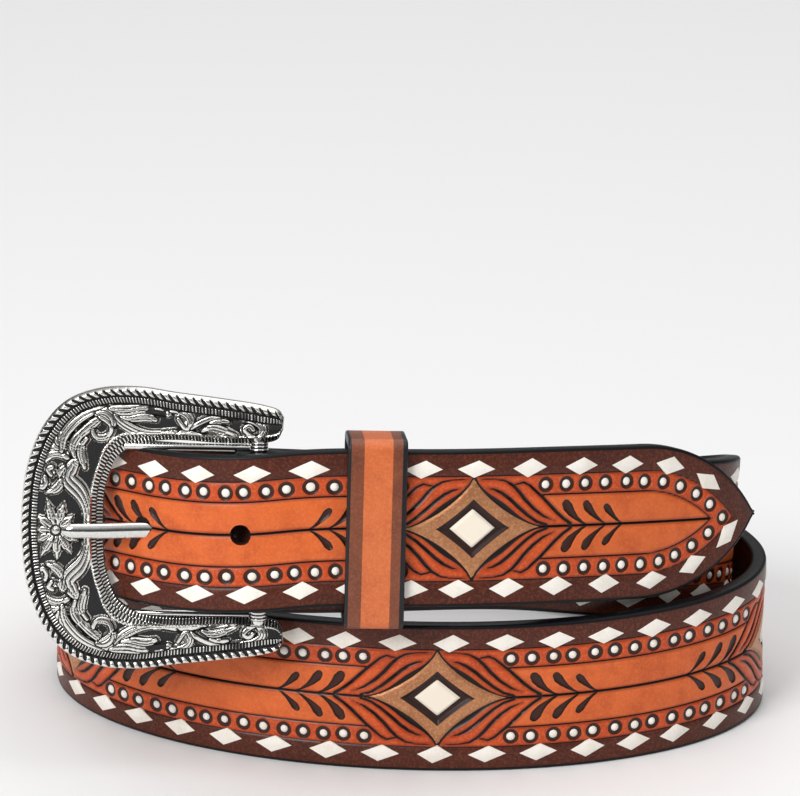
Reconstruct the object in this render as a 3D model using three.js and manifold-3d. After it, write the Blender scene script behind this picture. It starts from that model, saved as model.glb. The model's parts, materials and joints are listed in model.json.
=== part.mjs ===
// Western tooled leather belt, buckled and wound in a coil of two turns that stands on its lower edge.
// Units are millimetres, +Z is up, X runs along the coil's length and the buckle faces -Y.
// The strap is one piece: a folded end round the buckle's bar, the long wound run, and a pointed tip
// that passes through the buckle, over the prong and into the keeper.

import * as THREE from 'three';
import { mergeVertices } from 'three/addons/utils/BufferGeometryUtils.js';
import Module from 'manifold-3d';

const wasm = await Module();
wasm.setup();

// Strap
const STRAP_WIDTH = 38.1;
const STRAP_THICK = 3.8;
const EDGE_BEVEL = 0.7;
const LAYER_GAP = 0.35;
const STRAP_STEP = 8;
const TIP_LENGTH = 36;
const TIP_BLUNT = 0.6;
const TIP_STEPS = 10;

// Coil: the turn on the floor is an ellipse, turned a little, and the rest of the run is set out from it
const COIL_HALF_LENGTH = 90.5;
const COIL_HALF_DEPTH = 58;
const COIL_TURN_DEG = -7.8;
const BEARING_STEP = 0.5;
const FLOOR_GRIP = 0.05;

// Folded end round the bar
const BAR_RADIUS = 1.75;
const BAR_CLEAR = 0.3;
const FLAP_LENGTH = 48;
const FLAP_THICK = 2.5;
const FLAP_STEPS = 12;
const FOLD_OPEN = 14;
const FOLD_STEPS = 10;
const SLOT_WIDTH = 5;
const SLOT_REACH = 9;

// Holes along the tip
const HOLE_DIAMETER = 4.9;
const HOLE_PITCH = 25.4;
const HOLE_COUNT = 7;
const FIRST_HOLE_FROM_TIP = 136.7;

// Buckle frame, in its own frame: u to the right, v up, w to the front, the bar's centre at zero
const BUCKLE_REACH = 57.4;
const ARM_WIDTH = 13.1;
const STRAP_PLAY = 2.4;
const PLATE_BACK = 1.8;
const PLATE_CROWN = 2.3;
const BUCKLE_LEAN_DEG = 9;
const BUCKLE_YAW_DEG = 3.3;
const ROPE_TWISTS = 60;
const LEDGE_RADIUS = 0.9;

// Prong
const PRONG_LENGTH = 47;
const PRONG_WIDTH = 4;
const PRONG_DEPTH = 2.6;
const EYE_WALL = 1.7;
const PRONG_CLEAR = 0.3;

// Keeper loop
const KEEPER_WIDTH = 14.3;
const KEEPER_WALL = 2.4;
const KEEPER_PLAY = 0.5;
const KEEPER_FROM_BAR = 28;
const KEEPER_CORNER = 2.6;

// Rivets that hold the folded end
const RIVET_DIAMETER = 4;
const RIVET_HEAD_DIAMETER = 7;
const RIVET_HEAD_THICK = 1;
const RIVET_CLEAR = 0.3;
const RIVET_FROM_BAR = [16.3, 40];

const LAYER = STRAP_THICK + LAYER_GAP;
const FOLD_RADIUS = BAR_RADIUS + BAR_CLEAR + STRAP_THICK / 2;
const OPENING_HALF = STRAP_WIDTH / 2 + STRAP_PLAY;
const BUCKLE_HALF_HEIGHT = OPENING_HALF + ARM_WIDTH;
const UP = new THREE.Vector3(0, 0, 1);

const LOOKS = {
  leather: { color: 0xc4622c, roughness: 0.5, metalness: 0 },
  dark_leather: { color: 0x5a2a1a, roughness: 0.55, metalness: 0 },
  antique_silver: { color: 0x9c9a96, roughness: 0.35, metalness: 1 },
  bright_steel: { color: 0xd8d8d6, roughness: 0.2, metalness: 1 },
};

// Where the strap runs, from the bar to the tip. bearing is the angle round the coil in degrees,
// seen from above; layers is how many strap layers outside the floor turn it lies; lift is its
// lower edge's height as a share of the strap's width; lean tips its top edge outwards, in degrees.
// Where the lower edge is within FLOOR_GRIP of the floor, the strap comes upright.
const COIL_COLUMNS = ['bearing', 'layers', 'lift', 'lean'];
const COIL_TABLE = [
  [254, 2.54, 1.135, -9],
  [262, 1.70, 1.135, -9],
  [275, 0.45, 1.13, -9],
  [291.5, -0.75, 1.09, -9],
  [303.2, -1.54, 1.01, -8],
  [315, -2.22, 0.915, -6],
  [334, -2.70, 0.83, -3],
  [350, -2.30, 0.745, 0],
  [366, -1.60, 0.65, 2],
  [385, -1.00, 0.49, 5],
  [405, -0.30, 0.30, 6],
  [422, 0.60, 0.155, 5],
  [450, 1.45, 0.04, 2],
  [480, 1.30, 0.005, 0],
  [510, 0.70, 0, 0],
  [540, 0.12, 0, 0],
  [570, 0, 0, 0],
  [610, 0, 0, 0],
  [660, 0, 0, 0],
  [692, 0.12, 0, 0],
  [720, 0.32, 0, 0],
  [745, 0.46, 0, 0],
  [765, 0.98, 0, 0],
  [783, 1.85, 0, 0],
  [810, 2.62, 0.01, 0],
  [840, 2.45, 0.09, 2],
  [870, 1.85, 0.33, 2],
  [890, 1.32, 0.49, 1],
  [905, 1.12, 0.60, 0],
  [920, 1.25, 0.735, -2],
  [938, 2.40, 0.985, -6],
  [953, 3.68, 1.12, -8],
  [963, 4.20, 1.15, -9],
  [976, 3.55, 1.19, -9],
  [980, 2.93, 1.205, -9],
  [995, 1.47, 1.20, -9],
  [1011, 0.27, 1.16, -9],
  [1021, -0.43, 1.125, -9],
  [1032.5, -1.10, 1.075, -8],
  [1050, -1.33, 1.00, -7],
  [1070.8, 0.02, 0.92, -6],
];

// The buckle band's upper half, from the arm's end to the middle of the closed side: the outer
// edge and the inner edge. Reaches are shares of BUCKLE_REACH, left of the bar; the outer rise is a
// share of BUCKLE_HALF_HEIGHT and the inner rise a share of OPENING_HALF.
const BAND_COLUMNS = ['outerReach', 'outerRise', 'innerReach', 'innerRise'];
const BAND_TABLE = [
  [-0.104, 0.800, -0.100, 1.145],
  [-0.085, 0.848, -0.080, 1.050],
  [-0.026, 0.882, -0.026, 1.005],
  [0.170, 0.930, 0.165, 0.995],
  [0.348, 0.965, 0.338, 1.020],
  [0.507, 1.000, 0.462, 0.995],
  [0.672, 0.985, 0.547, 0.920],
  [0.810, 0.896, 0.599, 0.810],
  [0.906, 0.722, 0.631, 0.620],
  [0.974, 0.451, 0.651, 0.420],
  [1.000, 0.145, 0.657, 0.160],
];

// Section across the buckle band, once round from the inner edge's back. across is the share of the
// band's width from the inner edge, inset a shift in mm away from the nearer edge, height is w in
// shares of PLATE_CROWN, and rope says how much of the rim's twist the point takes.
const PLATE_COLUMNS = ['across', 'inset', 'height', 'rope'];
const PLATE_TABLE = [
  [0, 0, -1, 0],
  [0, 0, 0.05, 0],
  [0, 1.7, 0.62, 0],
  [0.34, 0, 0.95, 0],
  [0.58, 0, 0.95, 0],
  [1, 3.6, 0.62, 0],
  [1, 2.0, 0.5, 0],
  [1, 1.5, 0.85, 0.5],
  [1, 0.7, 1, 1],
  [1, 0, 0.45, 0.6],
  [1, 0, -0.7, 0],
  [1, 0.7, -1, 0],
];
const ROPE_DROP = 0.55;

// Raised leaf lobes on the band, for its upper half. along is the share of the way from the arm's
// end to the middle of the closed side, across as above, and turn is degrees from the band's run.
const LEAF_COLUMNS = ['along', 'across', 'length', 'width', 'turn'];
const LEAF_TABLE = [
  [0.10, 0.45, 5.5, 2.4, 12],
  [0.21, 0.52, 6.5, 2.6, -14],
  [0.31, 0.40, 6.5, 2.8, 18],
  [0.43, 0.60, 7.5, 2.6, -20],
  [0.52, 0.36, 7.0, 3.0, 30],
  [0.63, 0.62, 8.0, 2.8, -18],
  [0.70, 0.34, 7.5, 3.0, 24],
  [0.80, 0.56, 6.5, 2.6, -38],
  [0.87, 0.30, 6.0, 2.6, 10],
];

// Raised curls on the band's upper half.
const CURL_COLUMNS = ['along', 'across', 'radius'];
const CURL_TABLE = [
  [0.05, 0.5, 1.9],
  [0.37, 0.62, 1.7],
  [0.58, 0.44, 1.9],
  [0.76, 0.66, 1.7],
];
const CURL_WIRE = 0.55;
const RELIEF_RISE = 0.65;

// Flower in the middle of the closed side
const FLOWER_ACROSS = 0.44;
const FLOWER_RADIUS = 3.3;
const FLOWER_PETALS = 8;
const PETAL_WIDTH = 2.3;
const FLOWER_BUTTON = 1.3;

// The prong's middle line: share of its length from the bar, height w in mm over the bar's centre,
// and its width and depth as shares of PRONG_WIDTH and PRONG_DEPTH.
const PRONG_COLUMNS = ['along', 'height', 'width', 'depth'];
const PRONG_TABLE = [
  [0.05, 0, 1, 1],
  [0.30, 0.4, 1, 1],
  [0.52, 1.3, 1, 1],
  [0.66, 2.7, 1, 1],
  [0.80, 4.2, 0.98, 1],
  [0.92, 4.8, 0.92, 0.95],
  [0.98, 4.8, 0.72, 0.8],
  [1.00, 4.7, 0.42, 0.5],
];

function rows(columns, table) {
  return table.map((row) => Object.fromEntries(columns.map((name, i) => [name, row[i]])));
}

// Smooth step from 0 to 1.
function ease(t) {
  const x = Math.min(1, Math.max(0, t));
  return x * x * (3 - 2 * x);
}

// Natural cubic spline through (xs, ys), as a function of x.
function spline(xs, ys) {
  const n = xs.length;
  const bends = new Array(n).fill(0);
  const upper = new Array(n).fill(0);
  const right = new Array(n).fill(0);
  for (let i = 1; i < n - 1; i += 1) {
    const before = xs[i] - xs[i - 1];
    const after = xs[i + 1] - xs[i];
    const pull = 6 * ((ys[i + 1] - ys[i]) / after - (ys[i] - ys[i - 1]) / before);
    const pivot = 2 * (before + after) - before * upper[i - 1];
    upper[i] = after / pivot;
    right[i] = (pull - before * right[i - 1]) / pivot;
  }
  for (let i = n - 2; i > 0; i -= 1) bends[i] = right[i] - upper[i] * bends[i + 1];
  return (x) => {
    let i = 0;
    while (i < n - 2 && x > xs[i + 1]) i += 1;
    const span = xs[i + 1] - xs[i];
    const a = (xs[i + 1] - x) / span;
    const b = (x - xs[i]) / span;
    const bow = ((a ** 3 - a) * bends[i] + (b ** 3 - b) * bends[i + 1]) * span * span / 6;
    return a * ys[i] + b * ys[i + 1] + bow;
  };
}

// The strap's middle line as a list of frames, evenly spaced in bearing. Each frame has its place,
// the direction of travel, the direction across towards the top edge, and the face's normal.
function coilFrames() {
  const table = rows(COIL_COLUMNS, COIL_TABLE);
  const bearings = table.map((row) => row.bearing);
  const layers = spline(bearings, table.map((row) => row.layers));
  const lift = spline(bearings, table.map((row) => row.lift));
  const lean = spline(bearings, table.map((row) => row.lean));
  const turn = THREE.MathUtils.degToRad(COIL_TURN_DEG);
  const footAt = (bearing) => Math.max(0, lift(bearing));
  const place = (bearing) => {
    const angle = THREE.MathUtils.degToRad(bearing);
    const out = layers(bearing) * LAYER - STRAP_THICK / 2;
    const point = new THREE.Vector3(
      (COIL_HALF_LENGTH + out) * Math.cos(angle),
      (COIL_HALF_DEPTH + out) * Math.sin(angle),
      (footAt(bearing) + 0.5) * STRAP_WIDTH,
    );
    return point.applyAxisAngle(UP, turn);
  };
  const first = bearings[0];
  const last = bearings[bearings.length - 1];
  const count = Math.round((last - first) / BEARING_STEP);
  const frames = [];
  let distance = 0;
  for (let i = 0; i <= count; i += 1) {
    const bearing = first + (last - first) * i / count;
    const centre = place(bearing);
    const along = place(bearing + 0.05).sub(place(bearing - 0.05)).normalize();
    const outward = new THREE.Vector3(along.y, -along.x, 0).normalize();
    const tilt = THREE.MathUtils.degToRad(lean(bearing)) * ease(footAt(bearing) / FLOOR_GRIP);
    const across = outward.multiplyScalar(Math.sin(tilt)).addScaledVector(UP, Math.cos(tilt));
    across.addScaledVector(along, -across.dot(along)).normalize();
    const normal = new THREE.Vector3().crossVectors(along, across);
    if (i > 0) distance += centre.distanceTo(frames[i - 1].centre);
    frames.push({ centre, along, across, normal, distance });
  }
  return frames;
}

const COIL = coilFrames();
const RUN_LENGTH = COIL[COIL.length - 1].distance;

// The frame at a distance along the run from the bar.
function runFrame(distance) {
  let i = COIL.findIndex((frame) => frame.distance >= distance);
  i = i < 0 ? COIL.length - 1 : Math.max(1, i);
  const from = COIL[i - 1];
  const to = COIL[i];
  const share = (distance - from.distance) / (to.distance - from.distance);
  const mix = (name) => from[name].clone().lerp(to[name], share);
  return {
    centre: mix('centre'),
    along: mix('along').normalize(),
    across: mix('across').normalize(),
    normal: mix('normal').normalize(),
  };
}

// A point of a frame: w across towards the top edge, n out of the face.
function framePoint(frame, w, n) {
  return frame.centre.clone().addScaledVector(frame.across, w).addScaledVector(frame.normal, n);
}

// Closed solid through rings of points that all have the same count.
function loft(rings) {
  const size = rings[0].length;
  const positions = rings.flat().flatMap((point) => point.toArray());
  const index = [];
  for (let i = 0; i + 1 < rings.length; i += 1) {
    for (let j = 0; j < size; j += 1) {
      const k = (j + 1) % size;
      const a = i * size + j;
      const b = i * size + k;
      const c = (i + 1) * size + k;
      const d = (i + 1) * size + j;
      index.push(a, b, c, a, c, d);
    }
  }
  const last = (rings.length - 1) * size;
  for (let j = 1; j + 1 < size; j += 1) {
    index.push(0, j + 1, j);
    index.push(last, last + j, last + j + 1);
  }
  const geometry = new THREE.BufferGeometry();
  geometry.setAttribute('position', new THREE.Float32BufferAttribute(positions, 3));
  geometry.setIndex(index);
  return outward(geometry);
}

// Turns the faces round if they point inwards.
function outward(geometry) {
  const points = geometry.getAttribute('position');
  const index = geometry.getIndex().array;
  const [a, b, c] = [new THREE.Vector3(), new THREE.Vector3(), new THREE.Vector3()];
  let volume = 0;
  for (let i = 0; i < index.length; i += 3) {
    a.fromBufferAttribute(points, index[i]);
    b.fromBufferAttribute(points, index[i + 1]);
    c.fromBufferAttribute(points, index[i + 2]);
    volume += a.dot(b.cross(c));
  }
  if (volume < 0) {
    for (let i = 0; i < index.length; i += 3) {
      [index[i], index[i + 1]] = [index[i + 1], index[i]];
    }
  }
  return geometry;
}

function toSolid(geometry) {
  const bare = geometry.clone();
  bare.deleteAttribute('normal');
  bare.deleteAttribute('uv');
  const merged = outward(mergeVertices(bare, 1e-4));
  return new wasm.Manifold(new wasm.Mesh({
    numProp: 3,
    vertProperties: new Float32Array(merged.getAttribute('position').array),
    triVerts: new Uint32Array(merged.getIndex().array),
  }));
}

function toGeometry(solid) {
  const mesh = solid.getMesh();
  const geometry = new THREE.BufferGeometry();
  geometry.setAttribute('position', new THREE.BufferAttribute(mesh.vertProperties, 3));
  geometry.setIndex(new THREE.BufferAttribute(mesh.triVerts, 1));
  geometry.computeVertexNormals();
  return geometry;
}

function addMesh(group, name, geometry, look) {
  const mesh = new THREE.Mesh(geometry, new THREE.MeshStandardMaterial(LOOKS[look]));
  mesh.name = name;
  group.add(mesh);
  return mesh;
}

// A round rod from one point to another.
function rod(from, to, radius, sides) {
  const run = to.clone().sub(from);
  const geometry = new THREE.CylinderGeometry(radius, radius, run.length(), sides);
  geometry.applyQuaternion(new THREE.Quaternion().setFromUnitVectors(
    new THREE.Vector3(0, 1, 0),
    run.clone().normalize(),
  ));
  const middle = from.clone().addScaledVector(run, 0.5);
  return geometry.translate(middle.x, middle.y, middle.z);
}

// Strap

// The tip is a pointed arch: half its width at a distance from the point.
function tipHalfWidth(fromTip) {
  const half = STRAP_WIDTH / 2;
  const arc = (TIP_LENGTH ** 2 + half ** 2) / (2 * half);
  const back = Math.max(0, TIP_LENGTH - fromTip);
  return Math.max(TIP_BLUNT, Math.sqrt(arc ** 2 - back ** 2) - (arc - half));
}

function strapRing(frame, halfWidth, thick) {
  const h = thick / 2;
  const bevel = Math.min(EDGE_BEVEL, halfWidth / 2);
  const outline = [
    [-halfWidth, bevel - h], [-halfWidth, h - bevel], [bevel - halfWidth, h], [halfWidth - bevel, h],
    [halfWidth, h - bevel], [halfWidth, bevel - h], [halfWidth - bevel, -h], [bevel - halfWidth, -h],
  ];
  return outline.map(([w, n]) => framePoint(frame, w, n));
}

// The flap behind the folded end: how far its middle lies inside the run's, and its thickness.
function flapAt(fromBar) {
  const open = ease(1 - fromBar / FOLD_OPEN);
  const thick = FLAP_THICK + (STRAP_THICK - FLAP_THICK) * open;
  const gap = LAYER_GAP + (2 * (BAR_RADIUS + BAR_CLEAR) - LAYER_GAP) * open;
  return { thick, depth: STRAP_THICK / 2 + gap + thick / 2 };
}

function flapFrame(fromBar) {
  const frame = runFrame(fromBar);
  const { depth } = flapAt(fromBar);
  return {
    centre: framePoint(frame, 0, -depth),
    along: frame.along.clone().negate(),
    across: frame.across,
    normal: frame.normal.clone().negate(),
  };
}

function strapBlank() {
  const half = STRAP_WIDTH / 2;
  const rings = [];
  for (let i = 0; i < FLAP_STEPS; i += 1) {
    const fromBar = FLAP_LENGTH * (1 - i / FLAP_STEPS);
    rings.push(strapRing(flapFrame(fromBar), half, flapAt(fromBar).thick));
  }
  const start = runFrame(0);
  const bar = framePoint(start, 0, -FOLD_RADIUS);
  for (let i = 0; i < FOLD_STEPS; i += 1) {
    const angle = Math.PI * i / FOLD_STEPS;
    const normal = start.normal.clone().multiplyScalar(-Math.cos(angle));
    normal.addScaledVector(start.along, -Math.sin(angle));
    const centre = bar.clone().addScaledVector(normal, FOLD_RADIUS);
    rings.push(strapRing({ centre, across: start.across, normal }, half, STRAP_THICK));
  }
  const straight = RUN_LENGTH - TIP_LENGTH;
  const steps = Math.round(straight / STRAP_STEP);
  for (let i = 0; i < steps; i += 1) {
    rings.push(strapRing(runFrame(straight * i / steps), half, STRAP_THICK));
  }
  for (let i = 0; i <= TIP_STEPS; i += 1) {
    const fromTip = TIP_LENGTH * (1 - i / TIP_STEPS);
    rings.push(strapRing(runFrame(RUN_LENGTH - fromTip), tipHalfWidth(fromTip), STRAP_THICK));
  }
  return toSolid(loft(rings));
}

// A round cut through the run at a distance from the bar, reaching from n = low to n = high.
function roundCut(distance, diameter, low, high) {
  const frame = runFrame(distance);
  return toSolid(rod(framePoint(frame, 0, low), framePoint(frame, 0, high), diameter / 2, 16));
}

// The slot in the fold that lets the prong's eye reach the bar.
function slotCut() {
  const start = runFrame(0);
  const back = -2 * FOLD_RADIUS - STRAP_THICK;
  const front = STRAP_THICK / 2 + LAYER_GAP / 3;
  const depth = front - back;
  const box = new THREE.BoxGeometry(2 * SLOT_REACH, SLOT_WIDTH, depth);
  const middle = framePoint(start, 0, (front + back) / 2);
  const place = new THREE.Matrix4().makeBasis(start.along, start.across, start.normal);
  place.setPosition(middle);
  return toSolid(box.applyMatrix4(place));
}

function strapGeometry(prongCut) {
  let solid = strapBlank();
  const reach = STRAP_THICK / 2 + LAYER_GAP / 2;
  for (let i = 0; i < HOLE_COUNT; i += 1) {
    const distance = RUN_LENGTH - FIRST_HOLE_FROM_TIP - i * HOLE_PITCH;
    solid = solid.subtract(roundCut(distance, HOLE_DIAMETER, -reach, reach));
  }
  for (const fromBar of RIVET_FROM_BAR) {
    const back = -flapAt(fromBar).depth - STRAP_THICK;
    solid = solid.subtract(roundCut(fromBar, RIVET_DIAMETER + 2 * RIVET_CLEAR, back, reach));
  }
  return toGeometry(solid.subtract(slotCut()).subtract(prongCut));
}

// Rivets: a plain post, flush in the front, with a flat head inside
function rivetGeometry(fromBar) {
  const frame = runFrame(fromBar);
  const { depth, thick } = flapAt(fromBar);
  const seat = -depth - thick / 2 - RIVET_CLEAR;
  const post = rod(
    framePoint(frame, 0, seat - RIVET_HEAD_THICK / 2),
    framePoint(frame, 0, STRAP_THICK / 2),
    RIVET_DIAMETER / 2,
    12,
  );
  const head = rod(
    framePoint(frame, 0, seat - RIVET_HEAD_THICK),
    framePoint(frame, 0, seat),
    RIVET_HEAD_DIAMETER / 2,
    16,
  );
  return toGeometry(toSolid(post).add(toSolid(head)));
}

// Keeper: a leather band round the tip, the run behind it and the flap
function roundedBox(low, high, bottom, top, corner) {
  const shape = new THREE.Shape();
  shape.moveTo(low + corner, bottom);
  shape.lineTo(high - corner, bottom);
  shape.absarc(high - corner, bottom + corner, corner, -Math.PI / 2, 0);
  shape.lineTo(high, top - corner);
  shape.absarc(high - corner, top - corner, corner, 0, Math.PI / 2);
  shape.lineTo(low + corner, top);
  shape.absarc(low + corner, top - corner, corner, Math.PI / 2, Math.PI);
  shape.lineTo(low, bottom + corner);
  shape.absarc(low + corner, bottom + corner, corner, Math.PI, 1.5 * Math.PI);
  return shape;
}

// The frame of the tip's run, in the second half of the strap, that lies nearest to a place.
function nearestOnTipRun(place) {
  const reach = COIL.filter((frame) => frame.distance > RUN_LENGTH / 2);
  const near = (a, b) => (a.centre.distanceTo(place) < b.centre.distanceTo(place) ? a : b);
  return reach.reduce(near);
}

function keeperGeometry() {
  const fold = runFrame(KEEPER_FROM_BAR);
  const frame = nearestOnTipRun(fold.centre);
  const shift = fold.centre.clone().sub(frame.centre);
  const drop = shift.dot(frame.across);
  const behind = -shift.dot(frame.normal) + flapAt(KEEPER_FROM_BAR).depth + FLAP_THICK / 2;
  const half = STRAP_WIDTH / 2;
  const low = -behind - KEEPER_PLAY;
  const high = STRAP_THICK / 2 + KEEPER_PLAY;
  const bottom = drop - half - KEEPER_PLAY;
  const top = half + KEEPER_PLAY;
  const wall = KEEPER_WALL;
  const shape = roundedBox(low - wall, high + wall, bottom - wall, top + wall, KEEPER_CORNER);
  const inner = roundedBox(low, high, bottom, top, KEEPER_CORNER - wall / 2);
  shape.holes.push(new THREE.Path(inner.getPoints(3)));
  const geometry = new THREE.ExtrudeGeometry(shape, {
    depth: KEEPER_WIDTH,
    bevelEnabled: false,
    curveSegments: 4,
  });
  geometry.translate(0, 0, -KEEPER_WIDTH / 2);
  // The shape's x is the strap's normal and its y runs across the strap.
  const place = new THREE.Matrix4().makeBasis(frame.normal, frame.across, frame.along.clone().negate());
  place.setPosition(frame.centre);
  return toGeometry(toSolid(geometry.applyMatrix4(place)));
}

// Buckle frame

// The band's outer and inner edge at a share of the way from the upper arm's end to the lower's.
function bandEdges() {
  const table = rows(BAND_COLUMNS, BAND_TABLE);
  const edge = (reach, rise, height) => {
    const upper = table.map((row) => new THREE.Vector3(
      -row[reach] * BUCKLE_REACH,
      row[rise] * height,
      0,
    ));
    const lower = upper.map((point) => new THREE.Vector3(point.x, -point.y, 0)).reverse();
    return new THREE.CatmullRomCurve3([...upper, ...lower], false, 'centripetal');
  };
  const outer = edge('outerReach', 'outerRise', BUCKLE_HALF_HEIGHT);
  const inner = edge('innerReach', 'innerRise', OPENING_HALF);
  return (share) => ({ outer: outer.getPoint(share), inner: inner.getPoint(share) });
}

const BAND = bandEdges();

// A point on the band: share of the way round, share across from the inner edge, shift and height.
function bandPoint(share, across, inset, height) {
  const { outer, inner } = BAND(share);
  const width = outer.distanceTo(inner);
  const shift = Math.min(inset, width / 3) / width;
  const place = across < 0.5 ? across + shift : across - shift;
  const point = inner.clone().lerp(outer, place);
  point.z = height;
  return point;
}

function bandBlank() {
  const plate = rows(PLATE_COLUMNS, PLATE_TABLE);
  const steps = 2 * ROPE_TWISTS;
  const rings = [];
  for (let i = 0; i <= steps; i += 1) {
    const groove = i % 2 === 0 ? 0 : ROPE_DROP;
    rings.push(plate.map((row) => {
      const level = row.height < 0 ? PLATE_BACK : PLATE_CROWN;
      const height = row.height * level - groove * row.rope;
      return bandPoint(i / steps, row.across, row.inset, height);
    }));
  }
  return toSolid(loft(rings));
}

// A flattened lobe lying on the band.
function lobe(place, length, width, angle) {
  const geometry = new THREE.SphereGeometry(0.5, 7, 4);
  geometry.scale(length, width, 2 * RELIEF_RISE);
  geometry.rotateZ(angle);
  return toSolid(geometry.translate(place.x, place.y, place.z));
}

function bandAngle(share) {
  const step = 0.002;
  const run = BAND(share + step).outer.sub(BAND(share - step).outer);
  return Math.atan2(run.y, run.x);
}

function reliefSolids() {
  const solids = [];
  const level = PLATE_CROWN * 0.95;
  for (const side of [1, -1]) {
    for (const row of rows(LEAF_COLUMNS, LEAF_TABLE)) {
      const place = bandPoint(row.along / 2, row.across, 0, level);
      const angle = bandAngle(row.along / 2) + THREE.MathUtils.degToRad(row.turn);
      place.y *= side;
      solids.push(lobe(place, row.length, row.width, side * angle));
    }
    for (const row of rows(CURL_COLUMNS, CURL_TABLE)) {
      const place = bandPoint(row.along / 2, row.across, 0, level);
      const ring = new THREE.TorusGeometry(row.radius - CURL_WIRE, CURL_WIRE, 4, 9);
      solids.push(toSolid(ring.translate(place.x, side * place.y, place.z)));
    }
  }
  const middle = bandPoint(0.5, FLOWER_ACROSS, 0, level);
  for (let i = 0; i < FLOWER_PETALS; i += 1) {
    const angle = 2 * Math.PI * i / FLOWER_PETALS;
    const petal = middle.clone();
    petal.x += FLOWER_RADIUS * Math.cos(angle);
    petal.y += FLOWER_RADIUS * Math.sin(angle);
    solids.push(lobe(petal, 1.5 * FLOWER_RADIUS, PETAL_WIDTH, angle));
  }
  solids.push(lobe(middle, 2 * FLOWER_BUTTON, 2 * FLOWER_BUTTON, 0));
  return solids;
}

function frameGeometry() {
  const barEnd = OPENING_HALF + ARM_WIDTH / 3;
  const bar = rod(new THREE.Vector3(0, -barEnd, 0), new THREE.Vector3(0, barEnd, 0), BAR_RADIUS, 12);
  let solid = bandBlank().add(toSolid(bar));
  for (const side of [1, -1]) {
    const v = side * (OPENING_HALF - LEDGE_RADIUS / 2);
    const from = new THREE.Vector3(-BAR_RADIUS, v, -PLATE_BACK + LEDGE_RADIUS);
    const to = new THREE.Vector3(-0.53 * BUCKLE_REACH, v, -PLATE_BACK + LEDGE_RADIUS);
    solid = solid.add(toSolid(rod(from, to, LEDGE_RADIUS, 8)));
  }
  for (const raised of reliefSolids()) solid = solid.add(raised);
  return toGeometry(solid);
}

// Prong: a half-round rod from an eye on the bar, through the strap and onto the band
function prongSolid(extra) {
  const table = rows(PRONG_COLUMNS, PRONG_TABLE);
  const along = table.map((row) => row.along);
  const height = spline(along, table.map((row) => row.height));
  const width = spline(along, table.map((row) => row.width));
  const depth = spline(along, table.map((row) => row.depth));
  const steps = 18;
  const sides = 10;
  const rings = [];
  for (let i = 0; i <= steps; i += 1) {
    const share = along[0] + (1 - along[0]) * (1 - (1 - i / steps) ** 1.4);
    const halfWidth = width(share) * PRONG_WIDTH / 2 + extra;
    const halfDepth = depth(share) * PRONG_DEPTH / 2 + extra;
    const u = -share * PRONG_LENGTH - (i === steps ? extra : 0);
    const ring = [];
    for (let j = 0; j < sides; j += 1) {
      const angle = 2 * Math.PI * (j + 0.5) / sides;
      const v = halfWidth * Math.cos(angle);
      ring.push(new THREE.Vector3(u, v, height(share) + halfDepth * Math.sin(angle)));
    }
    rings.push(ring);
  }
  const inner = BAR_RADIUS + BAR_CLEAR - extra;
  const outer = BAR_RADIUS + BAR_CLEAR + EYE_WALL + extra;
  const tall = PRONG_WIDTH / 2 + extra;
  const section = [[inner, -tall], [outer, -tall], [outer, tall], [inner, tall], [inner, -tall]];
  const eye = new THREE.LatheGeometry(section.map(([r, v]) => new THREE.Vector2(r, v)), 16);
  return toSolid(eye).add(toSolid(loft(rings)));
}

// Assembly
const belt = new THREE.Group();
const barFrame = runFrame(0);
const barCentre = framePoint(barFrame, 0, -FOLD_RADIUS);

const buckle = new THREE.Group();
buckle.position.copy(barCentre);
buckle.rotation.set(
  Math.PI / 2 - THREE.MathUtils.degToRad(BUCKLE_LEAN_DEG),
  0,
  -THREE.MathUtils.degToRad(BUCKLE_YAW_DEG),
  'ZYX',
);
belt.add(buckle);
belt.updateMatrixWorld(true);

addMesh(buckle, 'buckle_frame', frameGeometry(), 'antique_silver');
addMesh(buckle, 'prong', toGeometry(prongSolid(0)), 'bright_steel');

const prongCut = toSolid(toGeometry(prongSolid(PRONG_CLEAR)).applyMatrix4(buckle.matrixWorld));
const strap = addMesh(belt, 'strap', strapGeometry(prongCut), 'leather');
addMesh(belt, 'keeper', keeperGeometry(), 'dark_leather');
RIVET_FROM_BAR.forEach((fromBar, i) => {
  addMesh(belt, `rivet_${i + 1}`, rivetGeometry(fromBar), 'bright_steel');
});

// The origin is the middle of the whole belt's footprint, on the floor.
const box = new THREE.Box3().setFromObject(belt);
const middle = box.getCenter(new THREE.Vector3());
belt.position.set(-middle.x, -middle.y, -box.min.z);
belt.updateMatrixWorld(true);

export default belt;
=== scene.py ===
"""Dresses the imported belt: tooled strap with laces and dots, cast buckle, prong, keeper and rivets.

Lengths in the classes and tables are millimetres, in the belt's own frame: +Z up, the buckle faces -Y.
They become metres where a mesh is made.
"""

import json
import logging
import math
from dataclasses import dataclass, field
from enum import Enum

import bpy
import numpy as np
from mathutils import Matrix, Vector
from mathutils.kdtree import KDTree

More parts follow.
